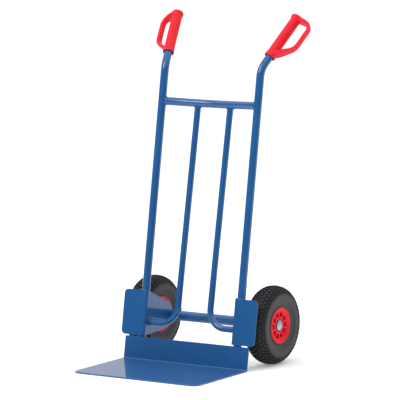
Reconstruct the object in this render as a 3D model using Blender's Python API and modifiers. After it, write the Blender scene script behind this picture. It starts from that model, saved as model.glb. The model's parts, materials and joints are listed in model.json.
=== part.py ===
"""Two-wheeled hand truck: welded tube frame, folded toe plate, pneumatic wheels and guarded hand grips.

Metres, +Z up. The load side faces -Y and the operator stands on the +Y side. The origin is on the
floor, under the middle of the truck's overall width and depth. Every sub-part is one object.
"""

import math

import bmesh
import bpy
from mathutils import Matrix, Vector

MM = 0.001
GAP = 0.3 * MM  # space left between pieces that touch
PLAY = 0.1 * MM  # the closer gap between the bearings, the sleeve's ends and the washers

# Toe plate: one folded sheet whose upstand leans back with the frame.
TOE_WIDTH = 480 * MM
TOE_DEPTH = 300 * MM
TOE_THICK = 5 * MM
TOE_CORNER = 28 * MM
TOE_FRONT_Y = -325.3 * MM
TOE_FOLD = 8 * MM  # outer radius of the fold
UPSTAND = 76 * MM
UPSTAND_CORNER = 4 * MM

# Frame tubes.
LEAN = math.radians(9.6)  # the frame leans back from the vertical
UPRIGHT_X = 186 * MM
UPRIGHT_R = 13.45 * MM
UPRIGHT_WALL = 2.6 * MM
UPRIGHT_FOOT = 10 * MM  # height along the lean where the uprights start
UPRIGHT_CORNER = 980 * MM  # height along the lean where the handles turn back
HANDLE_BEND = 80 * MM
HANDLE_PITCH = math.radians(43.5)  # handles lean back from the vertical
HANDLE_SPLAY = math.radians(12.3)  # and spread outwards
RAIL_X = 63 * MM
RAIL_R = 10.65 * MM
RAIL_WALL = 2.3 * MM
RAIL_BEND = 60 * MM
RAIL_TURN = 128 * MM  # height along the lean of the rails' outward run
RAIL_BEHIND_TOP = 30 * MM  # the rails sit behind the uprights, most at the top
RAIL_BEHIND_FOOT = 11.3 * MM
CROSS_HEIGHT = 860 * MM
CROSS_BOW = RAIL_BEHIND_TOP / (1 - (RAIL_X / UPRIGHT_X) ** 2)
TUBE_SIDES = 12

# Axle and wheel brackets.
AXLE_R = 10 * MM
AXLE_PAST_HUB = 2.8 * MM
AXLE_SIDES = 20
AXLE_TUBE_R = 16.85 * MM
AXLE_TUBE_WALL = 2.6 * MM
AXLE_BEHIND_FOLD = 172 * MM
SHEET = 3 * MM
GUARD_WIDTH = 90 * MM
GUARD_CORNER = 15 * MM
GUARD_FOLD = 7 * MM  # outer radius
GUARD_FOLD_STEPS = 4
GUARD_FOOT = 80 * MM  # heights along the lean of the guard's ends
GUARD_TOP = 230 * MM
CHEEK_END_R = 46 * MM  # round end of the side plate, and its centre behind the uprights
CHEEK_END_BEHIND = 103 * MM
CHEEK_END_HEIGHT = 153 * MM
SPACER_R = 15 * MM

# Wheels, in their own frame: +Z points outwards along the axle from the middle of the tyre.
WHEEL_X = 232.5 * MM
TYRE_R = 130 * MM
TYRE_HALF = 40.5 * MM
TYRE_BULGE_R = 94 * MM  # radius at which the tyre is widest
TYRE_SQUARE = 2.1  # exponent of the tyre's rounded section, 2 being an ellipse
TREAD_WALL = 9 * MM
SIDE_WALL = 7 * MM
BEAD_R = 51.6 * MM
BEAD_HALF = 29.2 * MM
RIM_R = 60 * MM
RIM_HALF = 33.5 * MM
RIM_CHANNEL_R = 47.5 * MM  # bottom of the channel between the rim's flanges
RIM_CHANNEL_HALF = 11 * MM
BOSS_R = 25.5 * MM
BOSS_BORE = 21.0 * MM
HUB_HALF = 27.2 * MM
WEB_HALF = 5.5 * MM
POCKETS = 10
POCKET_IN = 27.5 * MM
POCKET_OUT = 44 * MM
RIB = 4.4 * MM
SLEEVE_R = 20.5 * MM
SLEEVE_BORE = 16.5 * MM
SLEEVE_HALF = 25.5 * MM
BEARING_LENGTH = 20 * MM
BEARING_R = 16.1 * MM
RUNNING_BORE = 10.5 * MM  # bore of what turns on, or slides over, the axle
WASHER = 1.5 * MM
SCREW_CIRCLE = 35.5 * MM
SCREWS = 5
SCREW_R = 2.85 * MM
SCREW_HEAD_R = 5.5 * MM
SCREW_HEAD_HEIGHT = 3.6 * MM
CAP_R = 18.3 * MM
CAP_HEIGHT = 5.4 * MM
CAP_ROOM = 3.1 * MM  # depth of the cap's recess over the axle's end, from the hub's face
CAP_OFF_HUB = 0.4 * MM
AIR_TUBE_R = 88 * MM
AIR_TUBE_HALF_HEIGHT = 29 * MM
AIR_TUBE_HALF_WIDTH = 26 * MM
AIR_TUBE_WALL = 1.5 * MM
VALVE_R = 3.5 * MM
VALVE_ANGLE = 3 * math.pi / POCKETS  # middle of a pocket without a screw
VALVE_TURN = 36 * MM  # radius at which the valve turns towards the truck
VALVE_END = 27 * MM
VALVE_BEND = 7 * MM
VALVE_INTO_TUBE = 5 * MM
VALVE_CAP_WALL = 1.6 * MM

# Hand grips, in their own frame: +Z runs up the barrel, +X points away from the truck.
GRIP_FROM_CORNER = 54 * MM
GRIP_R = 17.6 * MM
GRIP_MOUTH_R = 19.2 * MM
GRIP_FLANGE_R = 20.6 * MM
GRIP_LENGTH = 175.5 * MM
GRIP_FLANGE_FROM_END = 5 * MM
GRIP_FLANGE_WIDTH = 6 * MM
GRIP_BORE = 14.1 * MM
GRIP_BORE_FLARE = 4.5 * MM  # the bore opens by this at the mouth
GRIP_BORE_DEPTH = 170 * MM
TUBE_INTO_GRIP = 167 * MM
KNUCKLE_REACH = 59.3 * MM  # middle of the knuckle band from the barrel's axis
KNUCKLE_DROOP = math.radians(23.5)  # the band hangs below the horizontal
KNUCKLE_THICK = 12 * MM
KNUCKLE_WIDTH = 16 * MM
KNUCKLE_ROOT = 31 * MM  # width where the band meets the barrel
KNUCKLE_INSIDE = 6 * MM  # how far from the barrel's axis both ends of the band stop
KNUCKLE_LOW = (12 * MM, 61.5 * MM)  # heights of the low leg, at the barrel and at the reach
KNUCKLE_TOP = (166 * MM, 162 * MM)
KNUCKLE_LOW_BEND = 45 * MM
KNUCKLE_TOP_BEND = 24 * MM

FINISHES = {  # colour, metallic, roughness
    "blue_paint": ((0.012, 0.105, 0.32), 0.25, 0.3),
    "red_plastic": ((0.78, 0.012, 0.03), 0.0, 0.32),
    "black_rubber": ((0.028, 0.028, 0.032), 0.0, 0.8),
    "zinc": ((0.62, 0.64, 0.68), 0.9, 0.35),
    "bare_steel": ((0.42, 0.43, 0.45), 0.95, 0.4),
    "black_plastic": ((0.02, 0.02, 0.022), 0.0, 0.5),
    "brass": ((0.65, 0.45, 0.16), 0.95, 0.3),
}

AXLE_Y = TOE_FRONT_Y + TOE_DEPTH + AXLE_BEHIND_FOLD
AXLE_Z = TYRE_R
UPRIGHT_FOOT_Y = TOE_FRONT_Y + TOE_DEPTH + (TOE_THICK + GAP + UPRIGHT_R) / math.cos(LEAN)
CHEEK_OUT = UPRIGHT_X - UPRIGHT_R - GAP  # outer face of the brackets' side plates
CHEEK_IN = CHEEK_OUT - SHEET


def new_collection(name):
    found = bpy.data.collections.get(name)
    if found:
        bpy.data.collections.remove(found)
    made = bpy.data.collections.new(name)
    bpy.context.scene.collection.children.link(made)
    return made


def leaning(x, height, behind=0.0):
    """World point at a height along the lean, and a distance behind the uprights' axes."""
    y = UPRIGHT_FOOT_Y + height * math.sin(LEAN) + behind * math.cos(LEAN)
    return Vector((x, y, height * math.cos(LEAN) - behind * math.sin(LEAN)))


def around(radius, sides):
    """Radius of a regular cutter that clears a round piece by the usual gap."""
    return (radius + GAP) / math.cos(math.pi / sides)


def rounded(corners, radius, steps):
    """The polyline through corners, with its inner corners turned into arcs of steps segments."""
    points = [Vector(corners[0])]
    for before, corner, after in zip(corners, corners[1:], corners[2:]):
        corner = Vector(corner)
        back = (Vector(before) - corner).normalized()
        ahead = (Vector(after) - corner).normalized()
        half = back.angle(ahead) / 2
        centre = corner + (back + ahead).normalized() * radius / math.sin(half)
        start = corner + back * radius / math.tan(half) - centre
        finish = corner + ahead * radius / math.tan(half) - centre
        turn = start.angle(finish)
        for step in range(steps + 1):
            t = step / steps
            blend = start * math.sin((1 - t) * turn) + finish * math.sin(t * turn)
            points.append(centre + blend / math.sin(turn))
    points.append(Vector(corners[-1]))
    return points


def dress(name, finish):
    """A painted, moulded or plated surface of the sub-part's own."""
    material = bpy.data.materials.new(f"{name}_{finish}")
    material.use_nodes = True
    shader = material.node_tree.nodes["Principled BSDF"]
    colour, metallic, roughness = FINISHES[finish]
    shader.inputs["Base Color"].default_value = (*colour, 1.0)
    shader.inputs["Metallic"].default_value = metallic
    shader.inputs["Roughness"].default_value = roughness
    material.diffuse_color = (*colour, 1.0)
    return material


def place(name, mesh, finish=None, parent=None):
    """Puts a mesh in the scene as a sub-part, or as a cutter when it has no finish."""
    made = bpy.data.objects.new(name, mesh)
    if finish:
        PARTS.objects.link(made)
        mesh.materials.clear()
        mesh.materials.append(dress(name, finish))
    else:
        CUTTERS.objects.link(made)
        made.hide_render = True
        made.display_type = "WIRE"
    made.parent = parent
    return made


def as_mesh(name, bm, smooth=False):
    mesh = bpy.data.meshes.new(name)
    bm.to_mesh(mesh)
    bm.free()
    if smooth:
        mesh.shade_smooth()
        mesh.set_sharp_from_angle(angle=math.radians(35))
    return mesh


def wall(part, thickness, offset=-1.0):
    """Gives an open surface its thickness, inwards unless offset says otherwise."""
    solid = part.modifiers.new("Wall", "SOLIDIFY")
    solid.thickness = thickness
    solid.offset = offset
    solid.use_even_offset = True


def combine(part, other, operation="DIFFERENCE"):
    boolean = part.modifiers.new(operation.title(), "BOOLEAN")
    boolean.operation = operation
    boolean.solver = "EXACT"
    boolean.object = other


def sweep(name, path, radius, capped=False):
    """Mesh of a round tube along a path, with its ends open or capped."""
    curve = bpy.data.curves.new(name, "CURVE")
    curve.dimensions = "3D"
    curve.bevel_depth = radius
    curve.bevel_resolution = (TUBE_SIDES - 4) // 2
    curve.use_fill_caps = capped
    spline = curve.splines.new("POLY")
    spline.points.add(len(path) - 1)
    for point, place_at in zip(spline.points, path):
        point.co = (*place_at, 1.0)
    guide = bpy.data.objects.new(name, curve)
    bpy.context.scene.collection.objects.link(guide)
    evaluated = guide.evaluated_get(bpy.context.evaluated_depsgraph_get())
    mesh = bpy.data.meshes.new_from_object(evaluated)
    bpy.data.objects.remove(guide)
    bpy.data.curves.remove(curve)
    bm = bmesh.new()
    bm.from_mesh(mesh)
    bmesh.ops.remove_doubles(bm, verts=bm.verts, dist=0.01 * MM)
    bpy.data.meshes.remove(mesh)
    return as_mesh(name, bm, smooth=True)


def rod(name, radius, start, stop, sides, finish=None, parent=None):
    """A straight solid cylinder between two points."""
    start = Vector(start)
    along = Vector(stop) - start
    turn = along.to_track_quat("Z", "Y").to_matrix().to_4x4()
    bm = bmesh.new()
    bmesh.ops.create_cone(
        bm,
        cap_ends=True,
        segments=sides,
        radius1=radius,
        radius2=radius,
        depth=along.length,
        matrix=Matrix.Translation(start + along / 2) @ turn,
    )
    return place(name, as_mesh(name, bm, smooth=True), finish, parent)


def lathe(name, profile, steps, finish=None, parent=None):
    """Turns an (r, z) profile round Z. It is a closed loop unless both its ends lie on the axis."""
    on_axis = profile[0][0] == 0 and profile[-1][0] == 0
    area = sum(a[0] * b[1] - b[0] * a[1] for a, b in zip(profile, profile[1:] + profile[:1]))
    if area > 0:
        profile = profile[::-1]  # the outer side has to run downwards
    bm = bmesh.new()
    points = [bm.verts.new((r, 0, z)) for r, z in profile]
    following = points[1:] if on_axis else points[1:] + points[:1]
    for first, second in zip(points, following):
        bm.edges.new((first, second))
    part = place(name, as_mesh(name, bm), finish, parent)
    screw = part.modifiers.new("Turn", "SCREW")
    screw.axis = "Z"
    screw.steps = steps
    screw.render_steps = steps
    screw.use_merge_vertices = True
    screw.merge_threshold = 0.01 * MM
    screw.use_smooth_shade = True
    return part


def ring(name, inner, outer, low, high, steps, finish, parent):
    """A plain turned ring: a washer, a sleeve or a bearing."""
    return lathe(name, [(inner, low), (outer, low), (outer, high), (inner, high)], steps, finish, parent)


# ---------------------------------------------------------------- frame


def handle_direction(side):
    out = side * math.sin(HANDLE_SPLAY)
    back = math.cos(HANDLE_SPLAY) * math.sin(HANDLE_PITCH)
    return Vector((out, back, math.cos(HANDLE_SPLAY) * math.cos(HANDLE_PITCH)))


def grip_frame(side):
    """Pose of a grip: Z up its barrel, X towards its knuckle guard, origin at its lower end."""
    up = handle_direction(side)
    out = Vector((side * math.cos(KNUCKLE_DROOP), 0, -math.sin(KNUCKLE_DROOP)))
    out = (out - up * out.dot(up)).normalized()
    origin = leaning(side * UPRIGHT_X, UPRIGHT_CORNER) + up * GRIP_FROM_CORNER
    pose = Matrix((out, up.cross(out), up)).transposed().to_4x4()
    pose.translation = origin
    return pose


def upright(name, side):
    corner = leaning(side * UPRIGHT_X, UPRIGHT_CORNER)
    end = corner + handle_direction(side) * (GRIP_FROM_CORNER + TUBE_INTO_GRIP)
    path = rounded([leaning(side * UPRIGHT_X, UPRIGHT_FOOT), corner, end], HANDLE_BEND, 5)
    tube = place(name, sweep(name, path, UPRIGHT_R), "blue_paint")
    wall(tube, UPRIGHT_WALL)


def cross_path():
    """Centre line of the top cross tube, which bows backwards between the uprights."""
    stations = [UPRIGHT_X * step / 5 for step in range(-5, 6)]
    return [leaning(x, CROSS_HEIGHT, CROSS_BOW * (1 - (x / UPRIGHT_X) ** 2)) for x in stations]


def cross_tube():
    tube = place("top_cross_tube", sweep("top_cross_tube", cross_path(), UPRIGHT_R), "blue_paint")
    wall(tube, UPRIGHT_WALL)
    for side in (-1, 1):
        low = leaning(side * UPRIGHT_X, CROSS_HEIGHT - 4 * UPRIGHT_R)
        high = leaning(side * UPRIGHT_X, CROSS_HEIGHT + 4 * UPRIGHT_R)
        cutter = rod(f"cross_notch_{side}", around(UPRIGHT_R, 2 * TUBE_SIDES), low, high, 2 * TUBE_SIDES)
        combine(tube, cutter)


def inner_rail(name, side, notch):
    """Inner tube: down from the cross tube, then bent outwards to the wheel bracket."""
    corners = [
        leaning(side * RAIL_X, CROSS_HEIGHT, RAIL_BEHIND_TOP),
        leaning(side * RAIL_X, RAIL_TURN, RAIL_BEHIND_FOOT),
        leaning(side * (CHEEK_IN - GAP), RAIL_TURN, RAIL_BEHIND_FOOT),
    ]
    tube = place(name, sweep(name, rounded(corners, RAIL_BEND, 6), RAIL_R), "blue_paint")
    wall(tube, RAIL_WALL)
    combine(tube, notch)


def toe_plate():
    """Sheet folded up at the back, with rounded front corners."""
    corner_y = TOE_FRONT_Y + TOE_DEPTH + TOE_THICK / math.cos(LEAN)
    top = Vector((0, corner_y, 0)) + Vector((0, math.sin(LEAN), math.cos(LEAN))) * UPSTAND
    path = rounded([(0, TOE_FRONT_Y, 0), (0, corner_y, 0), top], TOE_FOLD, 4)
    bm = bmesh.new()
    points = [bm.verts.new(point - Vector((TOE_WIDTH / 2, 0, 0))) for point in path]
    edges = [bm.edges.new(pair) for pair in zip(points, points[1:])]
    moved = bmesh.ops.extrude_edge_only(bm, edges=edges)["geom"]
    far = [item for item in moved if isinstance(item, bmesh.types.BMVert)]
    bmesh.ops.translate(bm, verts=far, vec=(TOE_WIDTH, 0, 0))
    for radius, at_corner in (
        (TOE_CORNER, lambda v: v.co.y < TOE_FRONT_Y + MM),
        (UPSTAND_CORNER, lambda v: v.co.z > UPSTAND / 2),
    ):
        corners = [v for v in bm.verts if at_corner(v)]
        bmesh.ops.bevel(bm, geom=corners, offset=radius, segments=5, profile=0.5, affect="VERTICES")
    bmesh.ops.recalc_face_normals(bm, faces=bm.faces)
    facing = sum(face.normal.z * face.calc_area() for face in bm.faces)
    if facing > 0:
        bmesh.ops.reverse_faces(bm, faces=bm.faces)  # outwards is down and back
    plate = place("toe_plate", as_mesh("toe_plate", bm), "blue_paint")
    wall(plate, TOE_THICK)


def arc(centre, radius, start, finish, steps):
    """Points of a circular arc between two angles in degrees."""
    angles = [math.radians(start + (finish - start) * step / steps) for step in range(steps + 1)]
    return [Vector((centre[0] + radius * math.cos(a), centre[1] + radius * math.sin(a))) for a in angles]


def tangent_angle(centre, radius, point):
    """Angle in degrees at which a line from the point, which lies to the left, touches the circle."""
    away = Vector(point) - Vector(centre)
    opening = math.degrees(math.acos(radius / away.length))
    bearing = math.degrees(math.atan2(away.y, away.x))
    return bearing - math.copysign(opening, away.y)


def bracket_blank():
    """Flat outline of a wheel bracket: (distance from the fold's start, height along the lean)."""
    round_at = GUARD_CORNER - GUARD_WIDTH + GUARD_FOLD
    fold = GUARD_FOLD * math.pi / 2
    end = (fold + CHEEK_END_BEHIND + UPRIGHT_R + GAP + SHEET - GUARD_FOLD, CHEEK_END_HEIGHT)
    top, foot = (fold, GUARD_TOP), (fold, GUARD_FOOT)
    touch_top, touch_foot = (tangent_angle(end, CHEEK_END_R, point) for point in (top, foot))
    return (
        arc((round_at, GUARD_FOOT + GUARD_CORNER), GUARD_CORNER, 270, 180, 4)
        + arc((round_at, GUARD_TOP - GUARD_CORNER), GUARD_CORNER, 180, 90, 4)
        + [Vector((0, GUARD_TOP)), Vector(top)]
        + arc(end, CHEEK_END_R, touch_top, touch_foot, 9)
        + [Vector(foot), Vector((0, GUARD_FOOT))]
    )


def folded(point, side):
    """Place of a point of the flat blank once the side plate is folded back."""
    front = -(UPRIGHT_R + GAP + SHEET)
    turn = point.x / GUARD_FOLD
    if turn <= 0:
        return leaning(side * (CHEEK_IN + GUARD_FOLD - point.x), point.y, front)
    if turn >= math.pi / 2:
        run = point.x - GUARD_FOLD * math.pi / 2
        return leaning(side * CHEEK_IN, point.y, front + GUARD_FOLD + run)
    across = CHEEK_IN + GUARD_FOLD * (1 - math.sin(turn))
    return leaning(side * across, point.y, front + GUARD_FOLD * (1 - math.cos(turn)))


def wheel_bracket(name, side):
    """Front guard and side plate of one sheet, folded round the upright's inner corner."""
    bm = bmesh.new()
    bm.faces.new([bm.verts.new((p.x, p.y, 0)) for p in bracket_blank()])
    for step in range(GUARD_FOLD_STEPS + 1):
        cut_at = (GUARD_FOLD * math.pi / 2 * step / GUARD_FOLD_STEPS, 0, 0)
        everything = bm.verts[:] + bm.edges[:] + bm.faces[:]
        bmesh.ops.bisect_plane(bm, geom=everything, dist=0.01 * MM, plane_co=cut_at, plane_no=(1, 0, 0))
    for vert in bm.verts:
        vert.co = folded(vert.co, side)
    bmesh.ops.recalc_face_normals(bm, faces=bm.faces)
    facing = sum(face.normal.y * face.calc_area() for face in bm.faces)
    if facing > 0:
        bmesh.ops.reverse_faces(bm, faces=bm.faces)  # outwards is to the front and to the middle
    plate = place(name, as_mesh(name, bm), "blue_paint")
    wall(plate, SHEET)
    inside = (side * (CHEEK_IN - SHEET), AXLE_Y, AXLE_Z)
    outside = (side * (CHEEK_OUT + SHEET), AXLE_Y, AXLE_Z)
    combine(plate, rod(f"{name}_axle_hole", around(AXLE_R, AXLE_SIDES), inside, outside, AXLE_SIDES))


def axle_tube():
    reach = CHEEK_IN - GAP
    path = [Vector((x, AXLE_Y, AXLE_Z)) for x in (-reach, reach)]
    tube = place("axle_tube", sweep("axle_tube", path, AXLE_TUBE_R), "blue_paint")
    wall(tube, AXLE_TUBE_WALL)


def axle():
    reach = WHEEL_X + HUB_HALF + AXLE_PAST_HUB
    ends = (-reach, AXLE_Y, AXLE_Z), (reach, AXLE_Y, AXLE_Z)
    rod("axle_shaft", AXLE_R, *ends, AXLE_SIDES, "bare_steel")


# ---------------------------------------------------------------- hand grips


def knuckle_path():
    """Middle line of the knuckle band: out from the barrel's foot, up beside it and back to its top."""
    middle = (KNUCKLE_REACH, 0, GRIP_LENGTH / 2)
    low = [(KNUCKLE_INSIDE, 0, KNUCKLE_LOW[0]), (KNUCKLE_REACH, 0, KNUCKLE_LOW[1]), middle]
    top = [middle, (KNUCKLE_REACH, 0, KNUCKLE_TOP[1]), (KNUCKLE_INSIDE, 0, KNUCKLE_TOP[0])]
    return rounded(low, KNUCKLE_LOW_BEND, 3)[:-1] + rounded(top, KNUCKLE_TOP_BEND, 4)


def knuckle_band(side_name):
    """D-shaped band beside the barrel, wide at both roots and narrow along the knuckles."""
    bm = bmesh.new()
    points = [bm.verts.new(point) for point in knuckle_path()]
    edges = [bm.edges.new(pair) for pair in zip(points, points[1:])]
    moved = bmesh.ops.extrude_edge_only(bm, edges=edges)["geom"]
    far = [item for item in moved if isinstance(item, bmesh.types.BMVert)]
    for verts, way in ((points, -1), (far, 1)):
        for vert in verts:
            away = min(1.0, max(0.0, (vert.co.x - GRIP_R) / (KNUCKLE_REACH - GRIP_R)))
            ease = away * away * (3 - 2 * away)
            width = KNUCKLE_ROOT + (KNUCKLE_WIDTH - KNUCKLE_ROOT) * ease
            vert.co.y = way * width / 2
    bmesh.ops.recalc_face_normals(bm, faces=bm.faces)
    band = place(f"{side_name}_knuckle_band", as_mesh("knuckle_band", bm))
    wall(band, KNUCKLE_THICK, 0.0)
    return band


def hand_grip(name, side):
    """Closed plastic sleeve over the handle, with a flange at each end and a knuckle guard."""
    flange_top = GRIP_LENGTH - GRIP_FLANGE_FROM_END
    flange_foot = flange_top - GRIP_FLANGE_WIDTH
    profile = [
        (0, -2 * MM),
        (GRIP_MOUTH_R, -2 * MM),
        (GRIP_MOUTH_R - 0.4 * MM, 8 * MM),
        (GRIP_R, 22 * MM),
        (GRIP_R, flange_foot - 8 * MM),
        (GRIP_R + 1.2 * MM, flange_foot - 3 * MM),
        (GRIP_FLANGE_R, flange_foot),
        (GRIP_FLANGE_R, flange_top),
        (GRIP_FLANGE_R - 3 * MM, GRIP_LENGTH - 1.4 * MM),
        (GRIP_FLANGE_R - 9 * MM, GRIP_LENGTH - 0.4 * MM),
        (0, GRIP_LENGTH),
    ]
    bore = [
        (0, -5 * MM),
        (GRIP_BORE + GRIP_BORE_FLARE, -5 * MM),
        (GRIP_BORE, 4 * MM),
        (GRIP_BORE, GRIP_BORE_DEPTH),
        (0, GRIP_BORE_DEPTH),
    ]
    pose = grip_frame(side)
    grip = lathe(name, profile, 20, "red_plastic")
    pieces = [grip, knuckle_band(name), lathe(f"{name}_bore", bore, 16)]
    for piece in pieces:
        piece.matrix_world = pose
    combine(grip, pieces[1], "UNION")
    combine(grip, pieces[2])


# ---------------------------------------------------------------- wheels


def tyre_section(q, inset_r=0.0, inset_z=0.0):
    """Point (r, z) of the tyre's rounded section at angle q from the tread, in degrees."""
    power = 2 / TYRE_SQUARE
    c, s = math.cos(math.radians(q)), math.sin(math.radians(q))
    r = (TYRE_R - TYRE_BULGE_R - inset_r) * math.copysign(abs(c) ** power, c)
    z = (TYRE_HALF - inset_z) * math.copysign(abs(s) ** power, s)
    return (TYRE_BULGE_R + r, z)


def tyre(name, parent):
    outside = [tyre_section(q) for q in (0, 26, 52, 78, 104, 130)]
    bead = [(BEAD_R + 9.5 * MM, BEAD_HALF), (BEAD_R, BEAD_HALF), (BEAD_R, BEAD_HALF - 8 * MM)]
    inside = [tyre_section(q, TREAD_WALL, SIDE_WALL) for q in (115, 60)]
    half = outside + bead + inside
    crown = tyre_section(0, TREAD_WALL)
    other = [(r, -z) for r, z in half[:0:-1]]
    lathe(name, half + [crown] + other, 32, "black_rubber", parent)


def air_tube(name, parent):
    """Inner tube, hollow, with the hole that the valve blows through."""
    loop = []
    for step in range(8):
        a = math.radians(22.5 + 45 * step)
        loop.append((AIR_TUBE_R + AIR_TUBE_HALF_HEIGHT * math.cos(a), AIR_TUBE_HALF_WIDTH * math.sin(a)))
    tube = lathe(name, loop, 20, "black_rubber", parent)
    wall(tube, AIR_TUBE_WALL)
    combine(tube, valve_clearance(name, parent))


def rim_profile():
    """Section of the outer rim half, from the joint at the wheel's middle outwards."""
    joint = GAP / 2
    return [
        (BOSS_BORE, joint),
        (BOSS_BORE, HUB_HALF),
        (BOSS_R, HUB_HALF),
        (POCKET_OUT + 0.5 * MM, HUB_HALF + 1.3 * MM),
        (RIM_R - 3 * MM, RIM_HALF),
        (RIM_R, RIM_HALF - MM),
        (RIM_R, BEAD_HALF + 2 * GAP),
        (BEAD_R - 2 * GAP, BEAD_HALF + 2 * GAP),
        (BEAD_R - 2 * GAP, 15 * MM),
        (RIM_CHANNEL_R, RIM_CHANNEL_HALF),
        (RIM_CHANNEL_R, joint),
    ]


def pocket_cutter(name, parent, face):
    """All the pockets between the ribs, open to the rim's face."""
    bm = bmesh.new()
    step = 2 * math.pi / POCKETS
    inner = math.asin(RIB / 2 / POCKET_IN)
    outer = math.asin(RIB / 2 / POCKET_OUT)
    for pocket in range(POCKETS):
        corners = [
            (POCKET_IN, inner),
            (POCKET_OUT, outer),
            (POCKET_OUT, step / 2),
            (POCKET_OUT, step - outer),
            (POCKET_IN, step - inner),
        ]
        turned = [(r, a + pocket * step) for r, a in corners]
        outline = [bm.verts.new((r * math.cos(a), r * math.sin(a), face * WEB_HALF)) for r, a in turned]
        moved = bmesh.ops.extrude_face_region(bm, geom=[bm.faces.new(outline)])["geom"]
        top = [item for item in moved if isinstance(item, bmesh.types.BMVert)]
        bmesh.ops.translate(bm, verts=top, vec=(0, 0, face * 2 * RIM_HALF))
    bmesh.ops.recalc_face_normals(bm, faces=bm.faces)
    return place(name, as_mesh(name, bm), None, parent)


def screw_places():
    """Middles of every other pocket, where the screws clamp the rim halves."""
    angles = [math.pi / POCKETS + 2 * math.pi * index / SCREWS for index in range(SCREWS)]
    return [Vector((SCREW_CIRCLE * math.cos(a), SCREW_CIRCLE * math.sin(a), 0)) for a in angles]


def rim_half(name, parent, face):
    """One half of the split plastic rim, on the side of the wheel that face gives, 1 or -1."""
    rim = lathe(name, [(r, face * z) for r, z in rim_profile()], 30, "red_plastic", parent)
    combine(rim, pocket_cutter(f"{name}_pockets", parent, face))
    through = Vector((0, 0, 2 * WEB_HALF))
    for index, at in enumerate(screw_places()):
        hole = rod(f"{name}_hole_{index}", SCREW_R + 2 * GAP, at - through, at + through, 8, None, parent)
        combine(rim, hole)
    return rim


def rim_screws(side_name, parent):
    """Screws through both rim halves, with their heads in the outer half's pockets."""
    head = WEB_HALF + GAP
    profile = [
        (0, head + SCREW_HEAD_HEIGHT),
        (SCREW_HEAD_R * 0.8, head + SCREW_HEAD_HEIGHT),
        (SCREW_HEAD_R, head + SCREW_HEAD_HEIGHT * 2 / 3),
        (SCREW_HEAD_R, head),
        (SCREW_R, head),
        (SCREW_R, GAP - WEB_HALF),
        (0, GAP - WEB_HALF),
    ]
    for index, at in enumerate(screw_places()):
        screw = lathe(f"{side_name}_rim_screw_{index + 1}", profile, 8, "zinc", parent)
        screw.location = at


def valve_path():
    """From inside the air tube, through the inner rim half, then towards the truck."""
    out = Vector((math.cos(VALVE_ANGLE), math.sin(VALVE_ANGLE), 0))
    along = Vector((0, 0, -VALVE_END))
    start = out * (AIR_TUBE_R - AIR_TUBE_HALF_HEIGHT + VALVE_INTO_TUBE) + along * 0.2
    return rounded([start, out * VALVE_TURN + along * 0.5, out * VALVE_TURN + along], VALVE_BEND, 3)


def valve_clearance(name, parent):
    """Cutter for the passage of the valve through a piece."""
    mesh = sweep(f"{name}_valve_passage", valve_path(), around(VALVE_R, TUBE_SIDES), capped=True)
    return place(f"{name}_valve_passage", mesh, None, parent)


def valve(side_name, parent):
    stem = f"{side_name}_valve_stem"
    place(stem, sweep(stem, valve_path(), VALVE_R, capped=True), "brass", parent)
    cap_r = VALVE_R + VALVE_CAP_WALL
    profile = [
        (0, -VALVE_END - 2.4 * MM),
        (cap_r - MM, -VALVE_END - 2.4 * MM),
        (cap_r, -VALVE_END - 1.2 * MM),
        (cap_r, -VALVE_END + 4 * MM),
        (VALVE_R + GAP, -VALVE_END + 4 * MM),
        (VALVE_R + GAP, -VALVE_END - GAP),
        (0, -VALVE_END - GAP),
    ]
    cap = lathe(f"{side_name}_valve_cap", profile, 12, "black_plastic", parent)
    cap.location = (VALVE_TURN * math.cos(VALVE_ANGLE), VALVE_TURN * math.sin(VALVE_ANGLE), 0)


def retaining_cap(name, parent):
    """Domed cap pressed over the axle's end, which holds the wheel on."""
    low = HUB_HALF + CAP_OFF_HUB
    bore_end = HUB_HALF + CAP_ROOM
    profile = [
        (0, low + CAP_HEIGHT),
        (CAP_R * 0.63, low + 5 * MM),
        (CAP_R * 0.91, low + 3.4 * MM),
        (CAP_R, low + 1.2 * MM),
        (CAP_R, low),
        (RUNNING_BORE, low),
        (RUNNING_BORE, bore_end),
        (0, bore_end),
    ]
    lathe(name, profile, 24, "zinc", parent)


def wheel_frame(name, side):
    """Empty at the middle of a wheel, on its axle, with +Z pointing outwards."""
    empty = bpy.data.objects.new(name, None)
    empty.location = (side * WHEEL_X, AXLE_Y, AXLE_Z)
    empty.rotation_euler = (0, side * math.pi / 2, 0)
    CUTTERS.objects.link(empty)
    return empty


def axle_stack(side_name, hub):
    """What sits still on the axle beside a wheel: washers, spacer sleeve and cap."""
    washer_low = HUB_HALF + PLAY - WASHER
    for end_name, face in (("outer", 1), ("inner", -1)):
        ends = sorted((face * washer_low, face * (washer_low + WASHER)))
        ring(f"{side_name}_{end_name}_washer", RUNNING_BORE, BEARING_R, *ends, 20, "zinc", hub)
    low = CHEEK_OUT + GAP - WHEEL_X
    high = -(washer_low + WASHER + GAP)
    ring(f"{side_name}_spacer_sleeve", RUNNING_BORE, SPACER_R, low, high, 20, "zinc", hub)
    retaining_cap(f"{side_name}_retaining_cap", hub)


def wheel(side_name, spin):
    """Everything that turns with one wheel."""
    tyre(f"{side_name}_tyre", spin)
    air_tube(f"{side_name}_air_tube", spin)
    rim_half(f"{side_name}_rim_outer", spin, 1)
    inner = rim_half(f"{side_name}_rim_inner", spin, -1)
    combine(inner, valve_clearance(inner.name, spin))
    rim_screws(side_name, spin)
    valve(side_name, spin)
    ring(f"{side_name}_hub_sleeve", SLEEVE_BORE, SLEEVE_R, -SLEEVE_HALF, SLEEVE_HALF, 24, "bare_steel", spin)
    high = SLEEVE_HALF - PLAY
    for end_name, face in (("outer", 1), ("inner", -1)):
        ends = sorted((face * (high - BEARING_LENGTH), face * high))
        ring(f"{side_name}_{end_name}_bearing", RUNNING_BORE, BEARING_R, *ends, 24, "bare_steel", spin)


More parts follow.
